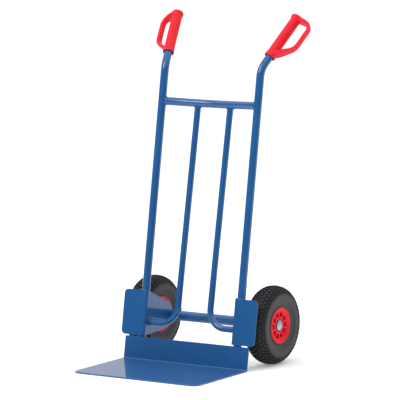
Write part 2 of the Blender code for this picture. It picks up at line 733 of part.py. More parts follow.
def build():
    toe_plate()
    cross_tube()
    notch_mesh = sweep("rail_notch", cross_path(), around(UPRIGHT_R, TUBE_SIDES), capped=True)
    notch = place("rail_notch", notch_mesh)
    axle_tube()
    axle()
    for side_name, side in (("left", -1), ("right", 1)):
        upright(f"{side_name}_upright_tube", side)
        inner_rail(f"{side_name}_inner_tube", side, notch)
        wheel_bracket(f"{side_name}_wheel_bracket", side)
        hand_grip(f"{side_name}_hand_grip", side)
        axle_stack(side_name, wheel_frame(f"{side_name}_hub_frame", side))
        wheel(side_name, wheel_frame(f"{side_name}_wheel_spin", side))


for old in list(bpy.data.objects):
    bpy.data.objects.remove(old, do_unlink=True)
PARTS = new_collection("hand_truck")
CUTTERS = new_collection("cutters")
build()
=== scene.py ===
"""Looks of a two-wheeled hand truck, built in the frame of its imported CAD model.

Every visible piece is modelled here at the CAD model's sizes and rides on the body of the node that it
stands for: the powder-coated frame, the toe plate, the wheel brackets, the moulded grips and the wheels.
"""

import json
import logging
import math
from dataclasses import dataclass, field
from enum import Enum
from typing import Any, Callable, Sequence

import bmesh
import bpy
from mathutils import Matrix, Vector


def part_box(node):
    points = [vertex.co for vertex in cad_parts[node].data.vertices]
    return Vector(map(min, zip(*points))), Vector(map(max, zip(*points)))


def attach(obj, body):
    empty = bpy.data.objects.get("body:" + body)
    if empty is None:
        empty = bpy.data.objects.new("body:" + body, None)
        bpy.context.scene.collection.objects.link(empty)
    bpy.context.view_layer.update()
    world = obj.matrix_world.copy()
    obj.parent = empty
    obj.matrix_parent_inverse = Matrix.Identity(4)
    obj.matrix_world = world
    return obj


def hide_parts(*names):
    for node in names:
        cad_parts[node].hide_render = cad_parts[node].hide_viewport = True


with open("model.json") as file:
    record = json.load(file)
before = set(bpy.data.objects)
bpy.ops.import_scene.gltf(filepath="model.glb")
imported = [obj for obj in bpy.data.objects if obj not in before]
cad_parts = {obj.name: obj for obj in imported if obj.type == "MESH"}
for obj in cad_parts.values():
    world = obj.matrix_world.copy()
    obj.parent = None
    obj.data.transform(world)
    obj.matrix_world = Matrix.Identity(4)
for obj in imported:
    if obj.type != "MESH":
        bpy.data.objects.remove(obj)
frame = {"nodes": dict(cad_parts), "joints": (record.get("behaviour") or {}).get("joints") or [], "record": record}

MM = 0.001
UP = Vector((0, 0, 1))
ACROSS = Vector((1, 0, 0))
LOG = logging.getLogger("hand_truck")
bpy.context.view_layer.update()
Point = tuple[float, float, float]
Pair = tuple[float, float]
Outline = Sequence[Pair]


class Side(Enum):
    """The two sides of the truck, as seen from the load side."""

    LEFT = -1
    RIGHT = 1

    @property
    def label(self) -> str:
        """The word that node names start with."""
        return self.name.lower()


# ---------------------------------------------------------------- modelling


class Piece:
    """One mesh that is modelled with Blender's own tools, in metres, in the object's frame."""

    def __init__(self, name: str, add: Callable[..., Any], **settings: Any) -> None:
        """Adds a primitive and leaves it in edit mode, selected all over.

        Args:
            name: The finished piece's name.
            add: The operator that adds the primitive.
            settings: The operator's own settings, such as location and rotation.
        """
        if bpy.context.object and bpy.context.object.mode != "OBJECT":
            bpy.ops.object.mode_set(mode="OBJECT")
        bpy.ops.object.select_all(action="DESELECT")
        add(**settings)
        self.obj = bpy.context.object
        self.obj.name = name
        self.obj.data.name = name
        bpy.ops.object.transform_apply(location=True, rotation=True, scale=True)
        bpy.ops.object.mode_set(mode="EDIT")
        bpy.ops.mesh.select_mode(type="VERT")
        bpy.ops.mesh.select_all(action="SELECT")

    @property
    def name(self) -> str:
        """The piece's name."""
        return self.obj.name

    def pick(self, test: Callable[[Vector], bool]) -> "Piece":
        """Selects the vertices whose place passes the test, and what lies between them.

        Args:
            test: Says of a vertex's place whether it is taken.

        Returns:
            The piece itself.
        """
        bpy.ops.mesh.select_mode(type="VERT")
        shape = bmesh.from_edit_mesh(self.obj.data)
        for vert in shape.verts:
            vert.select_set(bool(test(vert.co)))
        shape.select_flush_mode()
        bmesh.update_edit_mesh(self.obj.data)
        return self

    def pick_faces(self, test: Callable[[Vector, Vector], bool]) -> "Piece":
        """Selects the faces whose middle and normal pass the test.

        Args:
            test: Says of a face's middle and normal whether it is taken.

        Returns:
            The piece itself.
        """
        bpy.ops.mesh.select_mode(type="FACE")
        shape = bmesh.from_edit_mesh(self.obj.data)
        for face in shape.faces:
            face.select_set(bool(test(face.calc_center_median(), face.normal)))
        bmesh.update_edit_mesh(self.obj.data)
        return self

    def pick_all(self) -> "Piece":
        """Selects everything."""
        bpy.ops.mesh.select_all(action="SELECT")
        return self

    def extrude(self, x: float = 0.0, y: float = 0.0, z: float = 0.0) -> "Piece":
        """Extrudes what is selected by a vector."""
        bpy.ops.mesh.extrude_region_move(TRANSFORM_OT_translate={"value": (x, y, z)})
        return self

    def move(self, x: float = 0.0, y: float = 0.0, z: float = 0.0) -> "Piece":
        """Moves what is selected by a vector."""
        bpy.ops.transform.translate(value=(x, y, z))
        return self

    def resize(self, x: float, y: float, z: float, centre: Point = (0, 0, 0)) -> "Piece":
        """Stretches what is selected about a point."""
        bpy.ops.transform.resize(value=(x, y, z), center_override=centre)
        return self

    def spin(self, angle: float, centre: Point, axis: Point, steps: int) -> "Piece":
        """Turns what is selected about an axis by the right-hand rule, leaving faces behind.

        Args:
            angle: The turn in radians.
            centre: A point on the axis.
            axis: The axis's direction.
            steps: How many faces the turn takes.

        Returns:
            The piece itself.
        """
        bpy.ops.mesh.spin(steps=steps, angle=-angle, center=centre, axis=axis)
        return self

    def repeat_round(self, count: int) -> "Piece":
        """Copies what is selected round Z, so that there are count of it in a full turn.

        Args:
            count: How many there are in the full turn.

        Returns:
            The piece itself.
        """
        angle = 2 * math.pi * (count - 1) / count
        bpy.ops.mesh.spin(steps=count - 1, dupli=True, angle=angle, center=(0, 0, 0), axis=(0, 0, 1))
        return self

    def bevel(self, width: float, segments: int = 2, corners: bool = False) -> "Piece":
        """Rounds the selected edges, or the selected corners of a sheet.

        Args:
            width: How far the rounding reaches.
            segments: Faces across the rounding.
            corners: Rounds corners rather than edges.

        Returns:
            The piece itself.
        """
        kind = "VERTICES" if corners else "EDGES"
        bpy.ops.mesh.bevel(offset=width, segments=segments, profile=0.5, affect=kind)
        return self

    def reshape(self, change: Callable[[Vector], Vector]) -> "Piece":
        """Moves each vertex to where a function sends it.

        Args:
            change: Gives a vertex's new place for its old one.

        Returns:
            The piece itself.
        """
        shape = bmesh.from_edit_mesh(self.obj.data)
        for vert in shape.verts:
            vert.co = change(vert.co)
        bmesh.update_edit_mesh(self.obj.data)
        return self

    def seal(self) -> "Piece":
        """Merges doubled vertices and turns all faces outwards.

        Returns:
            The piece itself.
        """
        bpy.ops.mesh.select_all(action="SELECT")
        bpy.ops.mesh.remove_doubles(threshold=0.002 * MM)
        bpy.ops.mesh.normals_make_consistent(inside=False)
        return self

    def modify(self, kind: str, **settings: Any) -> "Piece":
        """Adds a modifier and applies it.

        Args:
            kind: The modifier's type.
            settings: Its settings.

        Returns:
            The piece itself, in object mode.
        """
        self.rest()
        modifier = self.obj.modifiers.new(kind.title(), kind)
        for key, value in settings.items():
            setattr(modifier, key, value)
        bpy.ops.object.modifier_apply(modifier=modifier.name)
        return self

    def walled(self, thickness: float, offset: float = -1.0) -> "Piece":
        """Gives an open surface its thickness, inwards for an offset of -1 and half each way for 0."""
        return self.modify("SOLIDIFY", thickness=thickness, offset=offset, use_even_offset=True)

    def rounded(self, width: float, segments: int = 2, sharper_than: float = 40.0) -> "Piece":
        """Rounds every edge that is sharper than an angle in degrees."""
        limit = math.radians(sharper_than)
        return self.modify("BEVEL", width=width, segments=segments, limit_method="ANGLE", angle_limit=limit)

    def rest(self) -> "Piece":
        """Goes to object mode with only this piece selected.

        Returns:
            The piece itself.
        """
        if bpy.context.object and bpy.context.object.mode != "OBJECT":
            bpy.ops.object.mode_set(mode="OBJECT")
        bpy.ops.object.select_all(action="DESELECT")
        self.obj.select_set(True)
        bpy.context.view_layer.objects.active = self.obj
        return self

    def swallow(self, *others: "Piece") -> "Piece":
        """Joins other pieces into this one.

        Args:
            others: The pieces that are joined in.

        Returns:
            The piece itself.
        """
        self.rest()
        for other in others:
            other.obj.select_set(True)
        bpy.context.view_layer.objects.active = self.obj
        bpy.ops.object.join()
        return self

    def copy(self, name: str) -> "Piece":
        """A copy with its own mesh.

        Args:
            name: The copy's name.

        Returns:
            The copy, in object mode.
        """
        twin = Piece.__new__(Piece)
        twin.obj = self.obj.copy()
        twin.obj.data = self.obj.data.copy()
        twin.obj.name = name
        twin.obj.data.name = name
        bpy.context.scene.collection.objects.link(twin.obj)
        return twin

    def put(self, pose: Matrix) -> "Piece":
        """Places the piece, and keeps the place in its mesh.

        Args:
            pose: Where the piece goes.

        Returns:
            The piece itself.
        """
        self.rest()
        self.obj.matrix_world = pose
        bpy.ops.object.transform_apply(location=True, rotation=True, scale=True)
        return self

    def smooth(self, degrees: float = 35.0) -> "Piece":
        """Shades smooth across edges that are blunter than an angle.

        Args:
            degrees: The sharpest angle that is shaded smooth.

        Returns:
            The piece itself.
        """
        self.rest()
        bpy.ops.object.shade_smooth_by_angle(angle=math.radians(degrees))
        return self

    def flatten(self) -> "Piece":
        """Keeps large flat faces flat in shade where they run into rounded edges."""
        return self.modify("WEIGHTED_NORMAL", mode="FACE_AREA", weight=100, keep_sharp=True)

    def dress(self, finish: "Finish", body: str, *nodes: str) -> "Piece":
        """Gives the piece its finish and its place in the assembly.

        Args:
            finish: The surface that it gets.
            body: The CAD body that it rides on.
            nodes: The CAD nodes that it stands for.

        Returns:
            The piece itself.
        """
        self.rest()
        self.obj.data.materials.clear()
        self.obj.data.materials.append(finish.material())
        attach(self.obj, body)
        if nodes:
            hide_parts(*nodes)
        LOG.info("%s: %d faces, rides on %s", self.name, len(self.obj.data.polygons), body)
        return self


def open_circle(
    name: str, radius: float, place: Vector, along: Vector, sides: int, fill: str = "NOTHING"
) -> Piece:
    """A circle that faces along a direction, ready to be drawn out into a tube or a rod.

    Args:
        name: The piece's name.
        radius: The circle's radius.
        place: Its middle.
        along: The direction that it faces.
        sides: How many sides it has.
        fill: Whether it is an open ring or a disc.

    Returns:
        The piece, in edit mode.
    """
    turn = along.to_track_quat("Z", "Y").to_euler()
    add = bpy.ops.mesh.primitive_circle_add
    return Piece(name, add, vertices=sides, radius=radius, fill_type=fill, location=place, rotation=turn)


def half_sheet(name: str) -> Piece:
    """A plane cut down to the edge on its left, ready to be drawn out into a sheet.

    Args:
        name: The piece's name.

    Returns:
        The piece, in edit mode, with the edge selected.
    """
    sheet = Piece(name, bpy.ops.mesh.primitive_plane_add, size=1.0)
    sheet.pick(lambda co: co.x > 0)
    bpy.ops.mesh.delete(type="VERT")
    return sheet.pick_all()


def turned(name: str, outline: Outline, steps: int) -> Piece:
    """Turns an outline round Z.

    Args:
        name: The piece's name.
        outline: Radius and height of each point; a closed loop unless both its ends lie on the axis.
        steps: Faces in the full turn.

    Returns:
        The piece, in edit mode.
    """
    piece = Piece(name, bpy.ops.mesh.primitive_plane_add, size=MM)
    bpy.ops.mesh.merge(type="CENTER")
    first = Vector((outline[0][0], 0, outline[0][1]))
    piece.move(*first)
    for before, after in zip(outline, outline[1:]):
        piece.extrude(x=after[0] - before[0], z=after[1] - before[1])
    if outline[0][0] > 0:
        last = Vector((outline[-1][0], 0, outline[-1][1]))
        piece.pick(lambda co: min((co - first).length, (co - last).length) < 0.01 * MM)
        bpy.ops.mesh.edge_face_add()
    piece.pick_all().spin(2 * math.pi, (0, 0, 0), (0, 0, 1), steps)
    return piece.seal()


def follow(piece: Piece, route: Sequence[Vector], bends: Sequence[float], steps: int = 8) -> Piece:
    """Draws the selected start outline along a route of straight runs with round bends.

    Args:
        piece: The piece, with its start outline selected at the route's first point.
        route: The corners of the route.
        bends: The radius of the bend at each corner between the ends.
        steps: Faces in each bend.

    Returns:
        The piece, with the outline at the route's end selected.
    """
    legs = [after - before for before, after in zip(route, route[1:])]
    used = 0.0
    for index, leg in enumerate(legs):
        ahead = legs[index + 1] if index + 1 < len(legs) else None
        turn = leg.angle(ahead) if ahead else 0.0
        radius = bends[index] if ahead else 0.0
        tangent = radius * math.tan(turn / 2)
        piece.extrude(*(leg.normalized() * (leg.length - used - tangent)))
        if ahead:
            axis = leg.cross(ahead).normalized()
            start = route[index + 1] - leg.normalized() * tangent
            piece.spin(turn, start + axis.cross(leg.normalized()) * radius, axis, steps)
        used = tangent
    return piece


def arc(centre: Pair, radius: float, start: float, finish: float, steps: int) -> list[Pair]:
    """Points of a circular arc between two angles in degrees."""
    angles = [math.radians(start + (finish - start) * step / steps) for step in range(steps + 1)]
    return [(centre[0] + radius * math.cos(a), centre[1] + radius * math.sin(a)) for a in angles]


# ---------------------------------------------------------------- shader maths


class Sock:
    """A shader socket on which Python's arithmetic builds Math nodes."""

    def __init__(self, tree: bpy.types.NodeTree, out: bpy.types.NodeSocket) -> None:
        """Wraps an output socket of a node tree."""
        self.tree = tree
        self.out = out

    def _math(self, operation: str, *values: Any) -> "Sock":
        """A Math node on numbers and sockets.

        Args:
            operation: The node's operation.
            values: Its inputs, in order.

        Returns:
            The node's result.
        """
        node = self.tree.nodes.new("ShaderNodeMath")
        node.operation = operation
        for socket, value in zip(node.inputs, values):
            if isinstance(value, Sock):
                self.tree.links.new(value.out, socket)
            else:
                socket.default_value = value
        return Sock(self.tree, node.outputs[0])

    def __add__(self, other: Any) -> "Sock":
        """Sum."""
        return self._math("ADD", self, other)

    def __sub__(self, other: Any) -> "Sock":
        """Difference."""
        return self._math("SUBTRACT", self, other)

    def __rsub__(self, other: Any) -> "Sock":
        """Difference from a number."""
        return self._math("SUBTRACT", other, self)

    def __mul__(self, other: Any) -> "Sock":
        """Product."""
        return self._math("MULTIPLY", self, other)

    __radd__ = __add__
    __rmul__ = __mul__

    def step(self, low: float, high: float) -> "Sock":
        """0 below low, 1 above high, and smooth between them.

        Args:
            low: Where the rise starts.
            high: Where it ends.

        Returns:
            The rise, from 0 to 1.
        """
        node = self.tree.nodes.new("ShaderNodeMapRange")
        node.interpolation_type = "SMOOTHSTEP"
        self.tree.links.new(self.out, node.inputs["Value"])
        node.inputs["From Min"].default_value = low
        node.inputs["From Max"].default_value = high
        return Sock(self.tree, node.outputs["Result"])


class Surface:
    """The node tree of one material."""

    def __init__(self, name: str) -> None:
        """Starts a material with a Principled shader.

        Args:
            name: The material's name.
        """
        self.material = bpy.data.materials.new(name)
        self.material.use_nodes = True
        self.tree = self.material.node_tree
        self.shader = self.tree.nodes["Principled BSDF"]

    def node(
        self, kind: str, settings: dict[str, Any] | None = None, output: int | str = 0, **values: Any
    ) -> Sock:
        """Adds a node.

        Args:
            kind: The node's type, without its prefix.
            settings: Attributes that are set first.
            output: The output that is wanted.
            values: Values or sockets of its inputs, with _ for a space in a name.

        Returns:
            The wanted output.
        """
        node = self.tree.nodes.new(f"ShaderNode{kind}")
        for key, value in (settings or {}).items():
            setattr(node, key, value)
        for key, value in values.items():
            self.feed(node.inputs[key.replace("_", " ")], value)
        return Sock(self.tree, node.outputs[output])

    def feed(self, socket: bpy.types.NodeSocket, value: Any) -> None:
        """Links or sets an input socket.

        Args:
            socket: The input that is fed.
            value: A socket to link, or a plain value.
        """
        if isinstance(value, Sock):
            self.tree.links.new(value.out, socket)
        else:
            socket.default_value = value

    def noise(self, scale: float, detail: float = 3.0, stretch: Point = (1, 1, 1)) -> Sock:
        """Noise in the object's own coordinates.

        Args:
            scale: Features per metre.
            detail: Octaves.
            stretch: Extra scale along each axis.

        Returns:
            The noise, from 0 to 1.
        """
        place = self.node("TexCoord", output="Object")
        mapped = self.node("Mapping", Vector=place, Scale=stretch)
        return self.node("TexNoise", output="Fac", Vector=mapped, Scale=scale, Detail=detail)

    def off_axle(self, y: float, z: float) -> Sock:
        """Distance from the wheels' axle, whose place is given by its y and z.

        Args:
            y: The axle's place from front to back.
            z: Its height.

        Returns:
            The distance in metres.
        """
        place = self.node("TexCoord", output="Object")
        flat = self.node("Mapping", Vector=place, Scale=(0, 1, 1), Location=(0, -y, -z))
        return self.node("VectorMath", {"operation": "LENGTH"}, "Value", Vector=flat)

    def blend(self, share: Any, first: Any, second: Any) -> Sock:
        """Mixes two colours.

        Args:
            share: How much of the second colour there is.
            first: The first colour.
            second: The second colour.

        Returns:
            The mixed colour.
        """
        node = self.tree.nodes.new("ShaderNodeMix")
        node.data_type = "RGBA"
        self.feed(node.inputs["Factor"], share)
        for socket, value in ((node.inputs[6], first), (node.inputs[7], second)):
            self.feed(socket, value if isinstance(value, Sock) else (*value, 1.0))
        return Sock(self.tree, node.outputs[2])

    def bump(self, height: Sock, depth: float, strength: float = 1.0) -> None:
        """Raises the surface by a height times a depth in metres.

        Args:
            height: The height, from 0 to 1.
            depth: What a height of 1 stands for.
            strength: How much of the bump is used.
        """
        node = self.tree.nodes.new("ShaderNodeBump")
        node.inputs["Strength"].default_value = strength
        node.inputs["Distance"].default_value = depth
        self.tree.links.new(height.out, node.inputs["Height"])
        self.tree.links.new(node.outputs["Normal"], self.shader.inputs["Normal"])

    def set(self, **values: Any) -> None:
        """Sets or links the shader's inputs, with _ for a space in a name."""
        for key, value in values.items():
            self.feed(self.shader.inputs[key.replace("_", " ")], value)


# ---------------------------------------------------------------- finishes


@dataclass(frozen=True)
class Finish:
    """A kind of surface; one material of it is made and shared by the pieces that wear it."""

    slot: str

    def material(self) -> bpy.types.Material:
        """The finish's material, made once.

        Returns:
            The material, with its nodes.
        """
        name = f"{type(self).__name__}_{self.slot}"
        found = bpy.data.materials.get(name)
        return found or self.mix(Surface(name))

    def mix(self, surface: Surface) -> bpy.types.Material:
        """Builds the nodes."""
        raise NotImplementedError


@dataclass(frozen=True)
class PowderCoat(Finish):
    """Glossy powder coat on steel: a clear, slightly wavy skin with faint dust and cloudiness."""

    slot: str = "blue_paint"
    colour: Point = (0.006, 0.095, 0.290)
    deep: Point = (0.005, 0.086, 0.262)

    def mix(self, surface: Surface) -> bpy.types.Material:
        """Builds the nodes.

        Args:
            surface: The node tree to build in.

        Returns:
            The finished material.
        """
        cloud = surface.noise(9.0, 4.0)
        speck = surface.noise(2600.0, 1.0).step(0.72, 0.8)
        surface.set(Base_Color=surface.blend(cloud.step(0.35, 0.7), self.deep, self.colour))
        surface.set(Roughness=0.42 + cloud * 0.08 + speck * 0.1, Specular_IOR_Level=0.15)
        surface.set(Coat_Weight=1.0, Coat_Roughness=0.06, Coat_IOR=1.5)
        orange_peel = surface.noise(420.0, 2.0) + surface.noise(60.0, 2.0) * 2.0
        surface.bump(orange_peel, 0.04 * MM)
        return surface.material


@dataclass(frozen=True)
class MouldedPlastic(Finish):
    """Moulded plastic with a soft sheen and a finely eroded mould texture."""

    slot: str = "red_plastic"
    colour: Point = (0.83, 0.012, 0.028)
    deep: Point = (0.74, 0.006, 0.020)
    roughness: float = 0.38

    def mix(self, surface: Surface) -> bpy.types.Material:
        """Builds the nodes.

        Args:
            surface: The node tree to build in.

        Returns:
            The finished material.
        """
        cloud = surface.noise(28.0, 4.0)
        grain = surface.noise(1900.0, 2.0)
        surface.set(Base_Color=surface.blend(cloud.step(0.3, 0.75), self.deep, self.colour))
        surface.set(Roughness=self.roughness + grain * 0.12 + cloud * 0.06, Specular_IOR_Level=0.25)
        surface.bump(grain, 0.05 * MM)
        return surface.material


@dataclass(frozen=True)
class TyreRubber(Finish):
    """Matt black rubber: darker on the tread and greyer on the walls below it, with random dusty patches on the
    tread.
    """

    slot: str = "tyre_rubber"
    colour: Point = (0.005, 0.005, 0.007)
    dusty: Point = (0.011, 0.010, 0.014)
    wall: Point = (0.046, 0.045, 0.049)
    wall_radii: Pair = (106 * MM, 118 * MM)

    def mix(self, surface: Surface) -> bpy.types.Material:
        """Builds the nodes.

        Args:
            surface: The node tree to build in.

        Returns:
            The finished material.
        """
        cloud = surface.noise(24.0, 5.0)
        grain = surface.noise(1500.0, 3.0)
        axle = joint_place("right_wheel_spin")
        radius = surface.off_axle(axle.y, axle.z) + cloud * 8.0 * MM
        tread = surface.blend(cloud.step(0.35, 0.75), self.colour, self.dusty)
        surface.set(Base_Color=surface.blend(radius.step(*self.wall_radii), self.wall, tread))
        surface.set(Roughness=0.52 + grain * 0.16 + cloud * 0.1, Specular_IOR_Level=0.5)
        surface.bump(grain + cloud * 0.6, 0.12 * MM)
        return surface.material


@dataclass(frozen=True)
class Metal(Finish):
    """Bare or plated metal with fine turning marks and a clouded gloss."""

    colour: Point = (0.46, 0.47, 0.58)
    second: Point = (0.38, 0.40, 0.52)
    roughness: float = 0.24

    def mix(self, surface: Surface) -> bpy.types.Material:
        """Builds the nodes.

        Args:
            surface: The node tree to build in.

        Returns:
            The finished material.
        """
        cloud = surface.noise(90.0, 4.0)
        marks = surface.noise(900.0, 2.0, stretch=(1.0, 0.08, 0.08))
        surface.set(Base_Color=surface.blend(cloud.step(0.3, 0.7), self.colour, self.second))
        surface.set(Metallic=1.0, Roughness=self.roughness + cloud * 0.12 + marks * 0.1)
        surface.bump(marks, 0.03 * MM)
        return surface.material


BLUE = PowderCoat()
RED = MouldedPlastic()
BLACK = MouldedPlastic("black_plastic", (0.022, 0.022, 0.024), (0.015, 0.015, 0.017), 0.45)
RUBBER = TyreRubber()
AIR_RUBBER = TyreRubber("tube_rubber", (0.02, 0.02, 0.021), (0.03, 0.03, 0.031), (0.024, 0.024, 0.025))
ZINC = Metal("zinc_plate")
STEEL = Metal("bare_steel", (0.50, 0.50, 0.50), (0.42, 0.42, 0.43), 0.3)
BRASS = Metal("brass", (0.72, 0.55, 0.27), (0.62, 0.46, 0.20), 0.26)


# ---------------------------------------------------------------- the frame's own directions


@dataclass(frozen=True)
class Datum:
    """The leaning plane of the uprights' axes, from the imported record."""

    tube_radius: float = 13.45 * MM
    plate: float = 5.0 * MM
    gap: float = 0.3 * MM

    def lean_pose(self, x: float = 0.0) -> Matrix:
        """Pose with X across, Y behind the uprights' plane and Z up along the lean, from the floor.

        Args:
            x: Distance of the origin from the middle of the truck.

        Returns:
            The pose.
        """
        face = next(m for m in frame["record"]["mounts"] if m["name"] == "upstand_front")
        ahead = Vector(face["axis"]).normalized()
        up = Vector((1, 0, 0)).cross(-ahead)
        point = Vector(face["pos_m"]) - ahead * (self.plate + self.gap + self.tube_radius)
        foot = point - up * (point.z / up.z)
        pose = Matrix((Vector((1, 0, 0)), -ahead, up)).transposed().to_4x4()
        pose.translation = Vector((x, foot.y, foot.z))
        return pose

    def at(self, x: float, height: float, behind: float = 0.0) -> Vector:
        """World point at a height along the lean and a distance behind the uprights' axes."""
        return self.lean_pose() @ Vector((x, behind, height))


DATUM = Datum()


def joint_place(name: str) -> Vector:
    """Where a joint's axis is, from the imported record."""
    return Vector(next(j for j in frame["joints"] if j["name"] == name)["pos_m"])


# ---------------------------------------------------------------- welded frame


@dataclass
class Weld:
    """Light, rippled beads where welded pieces meet."""

    size: float = 2.6 * MM
    ripple: float = 0.16
    pitch: float = 2.6 * MM

    def ring(
        self, name: str, centre: Vector, along: Vector, radius: float, met: float = 0.0, met_axis: Vector = UP
    ) -> Piece:
        """A bead round a tube, where it meets a flat plate or, in a saddle shape, another tube.

        Args:
            name: The bead's name.
            centre: Middle of the joint, on both tubes' axes.
            along: Direction of the tube that the bead goes round, away from what it meets.
            radius: That tube's radius.
            met: Radius of the tube that it meets, or 0 for a flat plate.
            met_axis: Direction of the tube that it meets.

        Returns:
            The bead, dressed.
        """
        add, sizes = bpy.ops.mesh.primitive_torus_add, {"major_radius": radius, "minor_radius": self.size}
        bead = Piece(name, add, major_segments=96, minor_segments=8, **sizes)
        waves = round(2 * math.pi * radius / self.pitch)

        def shape(co: Vector) -> Vector:
            """Shapes the bead out of its primitive.

            Args:
                co: Where a vertex is.

            Returns:
                Where it goes.
            """
            angle = math.atan2(co.y, co.x)
            out = Vector((math.cos(angle), math.sin(angle), 0)) * radius
            moved = out + (co - out) * (1 + self.ripple * math.sin(waves * angle))
            moved.z += math.sqrt(max(0.0, met**2 - out.x**2))
            return moved

        bead.reshape(shape)
        side = met_axis.cross(along).normalized()
        pose = Matrix((side, along.normalized().cross(side), along.normalized())).transposed().to_4x4()
        pose.translation = centre
        return bead.put(pose).smooth(60).dress(BLUE, "frame")

    def seam(self, name: str, start: Vector, finish: Vector, size: float = 0.0) -> Piece:
        """A short straight bead between two points.

        Args:
            name: The bead's name.
            start: One end.
            finish: The other end.
            size: The bead's radius, or 0 for the usual one.

        Returns:
            The bead, dressed.
        """
        size = size or self.size
        run = finish - start
        half = run.length / 2 + size
        bead = Piece(name, bpy.ops.mesh.primitive_uv_sphere_add, segments=12, ring_count=48, radius=1.0)
        waves = math.pi * half / self.pitch

        def shape(co: Vector) -> Vector:
            """Shapes the bead out of its primitive.

            Args:
                co: Where a vertex is.

            Returns:
                Where it goes.
            """
            width = size * min(1.0, 2.2 * math.sqrt(max(0.0, 1 - co.z**2)))
            width *= 1 + self.ripple * math.sin(waves * 2 * math.asin(max(-1.0, min(1.0, co.z))))
            flat = Vector((co.x, co.y, 0))
            flat = flat.normalized() * width if flat.length > 1e-6 else flat
            return flat + Vector((0, 0, co.z * half))

        bead.reshape(shape)
        pose = run.to_track_quat("Z", "X").to_matrix().to_4x4()
        pose.translation = (start + finish) / 2
        return bead.put(pose).smooth(60).dress(BLUE, "frame")


@dataclass
class TubeFrame:
    """Uprights that turn back into handles, the bowed cross tube and the two inner tubes."""

    upright_x: float = 186 * MM
    upright_radius: float = 13.45 * MM
    upright_wall: float = 2.6 * MM
    foot: float = 10 * MM
    corner: float = 980 * MM
    handle_bend: float = 80 * MM
    handle_pitch: float = math.radians(43.5)
    handle_splay: float = math.radians(12.3)
    handle_length: float = 221 * MM
    rail_x: float = 63 * MM
    rail_radius: float = 10.65 * MM
    rail_wall: float = 2.3 * MM
    rail_bend: float = 60 * MM
    rail_turn: float = 128 * MM
    rail_end: float = 169.2 * MM
    rail_behind: Pair = (11.3 * MM, 30 * MM)
    cross_height: float = 860 * MM
    cross_sag: float = 33.9 * MM
    sides: int = 40
    weld: Weld = field(default_factory=Weld)

    def handle_direction(self, side: Side) -> Vector:
        """Direction of a handle, backwards, upwards and outwards.

        Args:
            side: The side of the truck.

        Returns:
            The direction, as a unit vector.
        """
        flat = math.cos(self.handle_splay)
        out = side.value * math.sin(self.handle_splay)
        return Vector((out, flat * math.sin(self.handle_pitch), flat * math.cos(self.handle_pitch)))

    def tube(self, name: str, route: Sequence[Vector], radius: float, wall: float, bend: float) -> Piece:
        """A bent tube with open ends along a route.

        Args:
            name: The CAD node that it stands for.
            route: The corners of its middle line.
            radius: Its outer radius.
            wall: Its wall thickness.
            bend: The bends' radius.

        Returns:
            The tube, dressed.
        """
        pipe = open_circle(f"{name}_pipe", radius, route[0], route[1] - route[0], self.sides)
        follow(pipe, route, [bend] * (len(route) - 2), 16).seal().walled(wall)
        return pipe.smooth(45).dress(BLUE, "frame", name)

    def upright(self, side: Side) -> None:
        """One outer tube, from the toe plate to inside its grip.

        Args:
            side: The side of the truck.
        """
        x = side.value * self.upright_x
        corner = DATUM.at(x, self.corner)
        route = [DATUM.at(x, self.foot), corner, corner + self.handle_direction(side) * self.handle_length]
        name = f"{side.label}_upright_tube"
        self.tube(name, route, self.upright_radius, self.upright_wall, self.handle_bend)

    def rail(self, side: Side) -> None:
        """One inner tube, from the cross tube down and out to its wheel bracket.

        Args:
            side: The side of the truck.
        """
        low, high = self.rail_behind
        x = side.value * self.rail_x
        route = [
            DATUM.at(x, self.cross_height - self.upright_radius * 0.7, high),
            DATUM.at(x, self.rail_turn, low),
            DATUM.at(side.value * self.rail_end, self.rail_turn, low),
        ]
        name = f"{side.label}_inner_tube"
        self.tube(name, route, self.rail_radius, self.rail_wall, self.rail_bend)
        top = DATUM.at(x, self.cross_height, high)
        radii = (self.rail_radius, self.upright_radius)
        self.weld.ring(f"{side.label}_rail_top_weld", top, route[1] - route[0], *radii, ACROSS)
        foot = route[2] - ACROSS * side.value * 0.8 * MM
        self.weld.ring(f"{side.label}_rail_foot_weld", foot, ACROSS, self.rail_radius)

    def cross_tube(self) -> None:
        """The top cross tube, bowed backwards between the uprights."""
        half = self.upright_x - self.upright_radius * 0.6
        full = self.upright_x
        radius = (full**2 + self.cross_sag**2) / (2 * self.cross_sag)
        angle = math.asin(half / radius)
        pose = DATUM.lean_pose()
        centre = pose @ Vector((0, self.cross_sag - radius, self.cross_height))
        start = pose @ Vector((-half, self.cross_sag - radius + radius * math.cos(angle), self.cross_height))
        heading = pose.to_3x3() @ Vector((math.cos(angle), math.sin(angle), 0))
        pipe = open_circle("top_cross_tube_pipe", self.upright_radius, start, heading, self.sides)
        pipe.spin(-2 * angle, centre, pose.col[2].to_3d(), 40).seal().walled(self.upright_wall)
        pipe.smooth(45).dress(BLUE, "frame", "top_cross_tube")
        for side in Side:
            slope = math.asin(full / radius)
            along = pose.to_3x3() @ Vector((-side.value * math.cos(slope), math.sin(slope), 0))
            centre = DATUM.at(side.value * self.upright_x, self.cross_height)
            radii = (self.upright_radius, self.upright_radius)
            self.weld.ring(f"{side.label}_cross_weld", centre, along, *radii, pose.col[2].to_3d())

    def build(self) -> None:
        """Builds all the tubes with their welds."""
        for side in Side:
            self.upright(side)
            self.rail(side)
        self.cross_tube()


